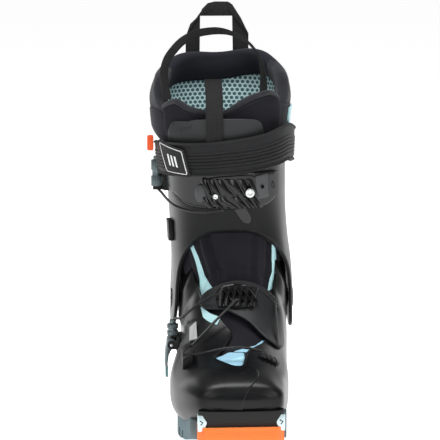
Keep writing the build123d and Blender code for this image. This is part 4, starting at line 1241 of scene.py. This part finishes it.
collar_rings = []
raw_rims = [rim_height(a) for a in angles(COLLAR_TURNS)]
rims = [sum(raw_rims[(i + k) % COLLAR_TURNS] for k in range(-4, 5)) / 9 for i in range(COLLAR_TURNS)]
for i, angle in enumerate(angles(COLLAR_TURNS)):
    top = rims[i]
    deep = roll_depth(top, angle)
    ring = []
    for k in range(26):
        z = COLLAR_FOOT + (top - ROLL - COLLAR_FOOT) * k / 26
        puff = 1.3 * math.sin(math.pi * unit((z - (top - 42)) / 42)) ** 0.8
        ring.append(level_point(LINER, z, angle, puff))
    for k in range(15):
        turn = math.pi * k / 14
        inwards = 0.9 - (ROLL + 0.9) * (1 - math.cos(turn))
        point = level_point(LINER, min(top - ROLL, LINER_TOP), angle, inwards)
        ring.append(Vector((point.x, point.y, top - ROLL + ROLL * math.sin(turn))))
    for k in range(1, 9):
        z = top - ROLL - deep * k / 9
        swell = 1.6 * math.sin(math.pi * k / 9)
        ring.append(level_point(LINER, min(z, LINER_TOP), angle, 0.9 - 2 * (ROLL + 0.9) - swell))
        ring[-1].z = z
    for k in range(7):
        turn = math.pi * k / 6
        z = top - ROLL - deep - 2.6 * math.sin(turn)
        ring.append(level_point(LINER, z, angle, -11.7 + 2.6 * (1 - math.cos(turn))))
    for k in range(1, 9):
        z = (top - ROLL - deep) + (COLLAR_FOOT - (top - ROLL - deep)) * k / 8
        ring.append(level_point(LINER, z, angle, -4.2))
    collar_rings.append(ring)
around = len(collar_rings[0])
collar_faces = grid_faces(COLLAR_TURNS, around) + closing_faces(COLLAR_TURNS, around)
collar = make_object("collar", [p for ring in collar_rings for p in ring], collar_faces)
along = 0.0
place_on_cloth = []
for i in range(COLLAR_TURNS):
    if i:
        along += (collar_rings[i][INSIDE] - collar_rings[i - 1][INSIDE]).length
    down = 0.0
    for j in range(around):
        if j:
            down += (collar_rings[i][j] - collar_rings[i][j - 1]).length
        place_on_cloth.append((along, down))
lay_attribute(collar, place_on_cloth)
paint(collar, navy_cloth)
paint(collar, charcoal_mesh)
for face in collar.data.polygons:
    middle = face.center / MM
    if -84 < middle.y < -26 and middle.z > 281:
        face.material_index = 1
finish(collar, navy_cloth, "cuff", "liner_shaft")

LINING_STEPS = 40
LINING_FOOT = 196
lining_points, lining_lay = [], []
for i, angle in enumerate(angles(COLLAR_TURNS)):
    high = rims[i] - ROLL - roll_depth(rims[i], angle) + 3
    for k in range(LINING_STEPS + 1):
        z = high + (LINING_FOOT - high) * k / LINING_STEPS
        hollow = 1.2 * math.sin(math.pi * k / LINING_STEPS)
        lining_points.append(level_point(LINER, z, angle, -6.6 - hollow))
        lining_lay.append((place_on_cloth[i * around + INSIDE][0], z))
lining_faces = grid_faces(COLLAR_TURNS, LINING_STEPS + 1, closed=False)
lining_faces += closing_faces(COLLAR_TURNS, LINING_STEPS + 1)[:-1]
inner = make_object("collar_lining", lining_points, lining_faces)
lay_attribute(inner, lining_lay)
paint(inner, lining)
mesh_layer = inner.modifiers.new("mesh_layer", "SOLIDIFY")
mesh_layer.thickness = 1.2 * MM
mesh_layer.offset = 0
apply_modifiers(inner)
finish(inner, lining, "cuff", slot="teal_fabric")


def cloth_patch(name, outline, place, height, thickness, material, edge=1.0, rings=12):
    """A padded panel that follows a surface, with its weave in the front view."""
    smooth_outline = densify(rounded(outline, 3.0, 4), 2.0)
    obj = patch(name, smooth_outline, place, height, thickness, rings=rings, edge=edge)
    lay_from_place(obj, "y")
    return paint(obj, material)


liner_place = round_form(LINER)
V_TOP = [
    (218, 286.5), (224.5, 290.5), (231.8, 292.6), (237, 290.6), (242.4, 287.5), (249, 285.2),
    (255.9, 283.4), (262, 282.2), (268.8, 282.4), (275, 286.5), (281.8, 292.2), (289, 296.2),
    (296, 298.4), (305.1, 300.1), (311, 298.4), (315.8, 294.8),
]
TONGUE_OUTLINE = [(217, 215), *V_TOP, (322, 284), (322, 215)]
liner_tongue = cloth_patch(
    "tongue_body", TONGUE_OUTLINE, liner_place, 0.2, 4.2, gaiter_cloth, 1.6, rings=16,
)
binding_line = []
for i in range(len(V_TOP) * 6 - 5):
    u, v = blend_rows(V_TOP, i / 6)
    binding_line.append(liner_place(u, v - 1.2, 2.4))
binding = bead("tongue_binding", binding_line, 3.1, flat=0.85)
lay_attribute(binding, [(c * 0.75, j * 1.6) for c in range(len(binding_line)) for j in range(BEAD_SIDES)])
paint(binding, charcoal_mesh)
stitch_line = []
for i in range(6, len(V_TOP) * 6 - 12):
    u, v = blend_rows(V_TOP, i / 6)
    stitch_line.append(liner_place(u, v - 5.6, 4.5))
stitches = bead("tongue_stitch_line", stitch_line, 0.5)
lay_from_place(stitches, "y")
paint(stitches, navy_cloth)
finish(join("tongue_whole", [liner_tongue, binding, stitches]), gaiter_cloth, "cuff", "liner_tongue")

OUTER_WING = [
    (158, 266), (167, 275), (177, 279.5), (187, 281), (198, 281.6), (208, 280.6), (216, 278.4),
    (221, 274.0), (222, 266), (221, 255), (205, 250), (176, 250), (158, 253),
]
INNER_WING = [
    (297, 268), (298.5, 276), (301.2, 279.9), (307.9, 283.4), (317.4, 285.4), (333.8, 286), (343, 284.6),
    (348.5, 279), (350, 266), (349, 252), (325, 248), (299, 252),
]
WINGS = {
    "outer_wing": (OUTER_WING, OUTER_WING[3:10]),
    "inner_wing": (INNER_WING, INNER_WING[:8]),
}
for wing_name, (outline, piped) in WINGS.items():
    wing = cloth_patch(wing_name, outline, liner_place, -2.0, 3.7, navy_cloth, 1.6)
    piping_line = [liner_place(*blend_rows(piped, i / 8), 1.4) for i in range((len(piped) - 1) * 8 + 1)]
    piping = bead(f"{wing_name}_piping", piping_line, 1.1)
    lay_attribute(piping, [(c * 0.6, j * 0.7) for c in range(len(piping_line)) for j in range(BEAD_SIDES)])
    paint(piping, navy_cloth)
    finish(join(f"{wing_name}_whole", [wing, piping]), navy_cloth, "cuff", slot="liner_fabric")
SIDE_PANEL = [(340, 270), (341, 283), (366, 283), (372, 266), (366, 258)]
panel_outline = densify(rounded(SIDE_PANEL, 3), 2.0)
side_panel = patch("side_panel", panel_outline, liner_place, 1.0, 2.2, rings=6, edge=0.6)
finish(side_panel, teal_film, "cuff", slot="teal_fabric")

# ------------------------------------------------------------------ pull loops
def flat_strip(name, outline, depth, thickness):
    """A flat length of webbing in the front view, given by its outline, its front face at a depth y."""
    rows = []
    for side in (0, 1):
        rows.append([Vector((x, depth + side * thickness, z)) for x, z in outline])
    obj = closed_skin(name, rows)
    lay_from_place(obj, "y")
    round_edges(obj, 0.35)
    return paint(obj, webbing_black)


# Outline in the front view, the front face's depth, and the thickness.
REAR_LOOP = {
    "loop_left": (
        [(-35.6, 296), (-22.3, 296), (-22.0, 330), (-21.6, 361), (-31.0, 352), (-35.4, 340)], 15.6, 1.5,
    ),
    "loop_right": ([(9.6, 296), (24.2, 296), (24.2, 343), (19, 353), (8.6, 361), (9.2, 330)], 15.6, 1.5),
    "loop_top": (
        [(-21.8, 359.6), (9.6, 359.6), (7.5, 371.4), (4.6, 373), (-7.6, 373.2), (-14.5, 371.6), (-20, 366)],
        14.8, 1.6,
    ),
    "loop_fold_left": (
        [
            (-35.4, 339.5), (-30.5, 350.5), (-20, 365.2), (-13.6, 371.8), (-9, 366), (-21.9, 359.6),
            (-29, 350),
        ],
        14.2, 1.2,
    ),
    "loop_fold_right": (
        [(24.4, 342), (17, 357.5), (8.2, 371.2), (4, 366), (9.4, 359.6), (17, 350)], 14.2, 1.2,
    ),
}
loop_parts = [flat_strip(part, *shape) for part, shape in REAR_LOOP.items()]
finish(join("rear_loop_webbing", loop_parts), webbing_black, "cuff", "rear_pull_loop")

LOOP_PATH = [
    (-56, -72, 291), (-58, -69, 303), (-58.8, -67, 316), (-55.8, -66, 327), (-49.5, -65.5, 336),
    (-42.5, -65, 343), (-34, -64, 348), (-26.3, -64, 350.8), (-12.5, -64, 352.5), (-0.9, -64, 351.2),
    (9.5, -64, 347.1), (20, -64.5, 340), (28.1, -65, 328.4), (31.3, -66, 315.6), (31.8, -68, 303),
    (31, -71, 291),
]
LOOP_SIDES = [
    (0.9, 0.3, 0.1), (0.9, 0.3, 0.1), (0.95, 0.2, 0), (0.9, 0.1, -0.3), (0.8, 0.1, -0.5),
    (0.6, 0.1, -0.8), (0.3, 0.25, -0.95), (0.15, 0.3, -1), (0, 0.5, -1), (0, 0.8, -0.7), (-0.2, 1, -0.4),
    (-0.2, 1, -0.15), (-0.3, 1, 0), (-0.6, 0.9, 0), (-0.9, 0.7, 0), (-0.9, 0.6, 0),
]
front_loop = ribbon("front_loop_webbing", LOOP_PATH, LOOP_SIDES, 7.6, 1.1, 0.3)
lay_grid(front_loop, len(STRIP_SECTION), 1.9, 1.6)
finish(front_loop, webbing_black, "cuff", "front_pull_loop")

PULL_PATH = [
    (-16, -117.6, 257), (-16, -118.8, 268), (-16, -119.6, 279), (-16, -117.5, 286), (-15.8, -113, 295),
    (-16, -107.5, 304), (-16.2, -103, 310.5), (-16.2, -101.8, 312.3),
]
pull_strip = ribbon("tongue_pull_webbing", PULL_PATH, [(1, 0, 0)] * len(PULL_PATH), 15.6, 1.2, 0.2)
lay_grid(pull_strip, len(STRIP_SECTION), 1.9, 1.2)
finish(pull_strip, webbing_black, "cuff", "tongue_pull")

# ------------------------------------------------------------------ cable anchor and pull tab
ANCHOR = [(20.5, -58.5), (28, -59), (37, -63.5), (37.5, -67), (34, -68.5), (27, -65.5), (20.5, -63.5)]
anchor = patch("anchor_body", smooth_closed(ANCHOR, 5), on_instep, 0.3, 2.0, rings=8, crown=0.6, edge=1.0)
knots = [paint(anchor, trim_black)]
for k in range(4):
    middle = 23.5 + 3.6 * k
    knot_line = [on_instep(middle - 1.2 + 0.4 * i, -58 - 1.3 * k * 0.9 - 1.6 * i, 2.4) for i in range(6)]
    knots.append(paint(bead(f"anchor_knot_{k}", knot_line, 0.9), cable_black))
finish(join("anchor_whole", knots), trim_black, "foot", "cable_anchor")
PULL_TAB = [
    (-6, 204), (2, 205.5), (10.9, 198.5), (16.7, 189.7), (17.4, 184.5), (15.2, 181.6), (11.2, 182.5),
    (7.0, 187.5), (1.5, 196),
]
on_cuff_front = over(cuff_surface, FRONT)
pull_tab = patch("pull_tab_body", smooth_closed(PULL_TAB, 5), on_cuff_front, 0.4, 2.2, rings=8, edge=0.9)
finish(pull_tab, band_black, "cuff", "pull_tab")

# ------------------------------------------------------------------ inside the shell
inner_boot = foot_skin("inner_boot", -6.4, 0.9, len(SHELL) - 1.0, 70)
boolean(inner_boot, foot_skin("inner_room", -11.2, 1.9, len(SHELL) - 1.0, 60))
boolean(inner_boot, block("inner_top", (-200, -300, 161), (200, 200, 300)))
boolean(inner_boot, block("inner_floor", (-200, -300, -50), (200, 200, 20.8)))
tidy_normals(inner_boot, 60)
lay_from_place(inner_boot, "y")
finish(inner_boot, navy_cloth, "foot", "liner_foot")
SOLE_INSIDE = [
    (0, 23), (14, 18), (25, 2), (31, -25), (36, -70), (37, -115), (35, -150), (28, -172), (6, -176),
    (-18, -176), (-33, -168), (-40, -145), (-38, -110), (-33, -70), (-30, -25), (-25, 0), (-14, 18),
]


def on_board(u, v, height):
    """Above the board, dished up towards the edge like a footbed."""
    share = abs(u) / 40
    return Vector((u, v, 25.2 + height + 2.5 * share * share * (1 if height > 1 else 0)))


footbed = patch("footbed", smooth_closed(SOLE_INSIDE, 5), on_board, 0.1, 2.6, rings=14, edge=1.0)
lay_from_place(footbed, "z")
finish(footbed, gaiter_cloth, "foot", "insole")

# ------------------------------------------------------------------ hard parts from the CAD nodes
HARD = {
    "heel_block": (trim_black, 0.5), "midfoot_rubber": (rubber_black, 0.6), "toe_welt": (rubber_black, 0.6),
    "toe_insert": (pale_steel, 0.5), "heel_plate": (steel, 0.3), "heel_screw": (steel, 0.3),
    "cable_guide": (trim_black, 0.5), "shell_plate": (plate_grey, 0.3),
    "lower_buckle_base": (trim_black, 0.4), "lower_buckle_pin": (steel, 0.2),
    "lower_adjuster_stem": (alloy, 0.3),
    "pivot_bolts": (rack_black, 0.4), "pivot_nuts": (steel, 0.2), "pivot_washers": (trim_black, 0.3),
    "lock_plate": (steel, 0.4), "lower_lever": (alloy, 0.5), "lower_lever_tab": (teal_plastic, 0.4),
    "lower_adjuster": (alloy, 0.25), "cable_keeper": (trim_black, 0.5), "strap_tab": (orange_plastic, 0.3),
    "strap_rivet": (steel, 0.4), "rack_screws": (steel, 0.3),
    "upper_buckle_base": (trim_black, 0.4), "upper_buckle_pin": (steel, 0.2),
    "upper_adjuster_stem": (alloy, 0.3),
    "upper_lever": (alloy, 0.5), "upper_adjuster": (alloy, 0.25), "walk_bracket": (trim_black, 0.5),
    "walk_pin": (steel, 0.2), "walk_lever": (alloy, 0.5),
}
for node, (material, width) in HARD.items():
    refine(node, material, width)
board = frame["nodes"]["boot_board"]
board.data.materials.clear()
paint(board, board_grey)

# ------------------------------------------------------------------ sole rubber, cut into lugs
side_notches = []
for y in (-118, -130, -142, -154, -166, -178):
    side_notches += [((-70, y, -2), (-40, y + 4, 9)), ((36, y, -2), (70, y + 4, 9))]
TREAD_GROOVES = {
    "forefoot_tread": [((-21, -190, -2), (-17, -100, 4)), ((13, -190, -2), (17, -100, 4)), *side_notches],
    "heel_tread": [((-19, -30, -2), (-16, 30, 4)), ((16, -30, -2), (19, 30, 4))],
}
for node, grooves in TREAD_GROOVES.items():
    refine(node, rubber_grey, 0.7, cuts=grooves, sharper_than=35, ending="lugs")

refine("toe_bumper", rubber_orange, 1.3, 4)
BUMPER_LINE = [
    (-36.6, -227.5), (-31.4, -236.15), (-20, -236.15), (0, -236.15), (20, -236.15), (32.4, -236.15),
]
bumper_points = [
    Vector((x, y, 21.4 + 0.35 * math.cos(x / 24))) for x, y in densify(BUMPER_LINE, 2.0, closed=False)
]
groove = bead("bumper_line", bumper_points, 0.3)
finish(groove, rubber_orange, "foot", slot="orange_rubber")

# A pointed metal plate on the front of each toe socket.
PLATE = [(-36.8, 36.3), (-33.4, 37.2), (-29.2, 30.6), (-31.4, 24.2), (-34.4, 22.7), (-36.8, 22.7)]
MARK = [(-1.6, 32.3), (1.2, 30.7), (-0.8, 28.6)]
MIRROR_X = 0.75  # the toe's own middle
plates = []
for side, turn_over, middle in (("outer", False, -33.8), ("inner", True, 35.3)):
    outline = rounded([(2 * MIRROR_X - x if turn_over else x, z) for x, z in PLATE], 1.0, 4)
    faces = [[Vector((x, y, z)) for x, z in outline] for y in (-232.5, -231.7)]
    front_plate = closed_skin(f"{side}_toe_plate", faces)
    round_edges(front_plate, 0.2)
    mark = bead(f"{side}_toe_mark", [Vector((middle + x, -232.6, z)) for x, z in MARK], 0.5)
    plates += [paint(front_plate, pale_steel), paint(mark, rubber_black)]
finish(join("toe_plates", plates), pale_steel, "foot", slot="steel")

# ------------------------------------------------------------------ floor, light and camera
def softbox(name, place, aim, width, height, watts):
    """A white area light at a place, turned to a point."""
    light = bpy.data.lights.new(name, "AREA")
    light.shape = "RECTANGLE"
    light.size, light.size_y = width, height
    light.energy = watts
    obj = bpy.data.objects.new(name, light)
    bpy.context.collection.objects.link(obj)
    obj.location = place
    obj.rotation_mode = "QUATERNION"
    obj.rotation_quaternion = (Vector(aim) - Vector(place)).to_track_quat("-Z", "Y")
    return obj


floor_mesh = bpy.data.meshes.new("floor")
REACH = 6.0
floor_corners = [(-REACH, -REACH, 0), (REACH, -REACH, 0), (REACH, REACH, 0), (-REACH, REACH, 0)]
floor_mesh.from_pydata(floor_corners, [], [(0, 1, 2, 3)])
floor = bpy.data.objects.new("floor", floor_mesh)
bpy.context.collection.objects.link(floor)
floor.location.z = -0.0005
floor_paint, _, _, floor_shader = start_material("floor_paint", 0.9, 0.1)
floor_shader.inputs["Base Color"].default_value = (0.9, 0.9, 0.9, 1)
floor_shader.inputs["Emission Color"].default_value = (1, 1, 1, 1)
floor_shader.inputs["Emission Strength"].default_value = 0.72
floor_mesh.materials.append(floor_paint)

world = bpy.data.worlds.new("studio")
bpy.context.scene.world = world
world.use_nodes = True
back = world.node_tree.nodes["Background"]
back.inputs["Color"].default_value = (1, 1, 1, 1)
back.inputs["Strength"].default_value = 0.28

softbox("top_box", (0.0, -0.35, 1.5), (0, -0.1, 0.15), 0.9, 0.7, 17)
softbox("front_left", (-0.65, -1.5, 1.1), (0, -0.08, 0.18), 0.3, 0.9, 5)
softbox("front_right", (0.8, -1.4, 0.8), (0, -0.08, 0.18), 0.25, 0.9, 4)
softbox("rear_left", (-1.0, 0.9, 0.6), (0, -0.08, 0.2), 0.5, 1.2, 4)
softbox("rear_right", (1.0, 0.9, 0.6), (0, -0.08, 0.2), 0.5, 1.2, 4)

camera_data = bpy.data.cameras.new("camera")
camera_data.lens = 180
camera_data.sensor_width = 36
camera = bpy.data.objects.new("camera", camera_data)
bpy.context.collection.objects.link(camera)
turn, rise = math.radians(-3.5), math.radians(10)
away = Vector((math.sin(turn) * math.cos(rise), -math.cos(turn) * math.cos(rise), math.sin(rise)))
camera.location = Vector((-0.0096, -0.095, 0.1832)) + away * 2.0
camera.rotation_mode = "QUATERNION"
camera.rotation_quaternion = (-away).to_track_quat("-Z", "Y")
camera_data.clip_start, camera_data.clip_end = 0.05, 50
bpy.context.scene.camera = camera
bpy.context.scene.view_settings.view_transform = "Standard"
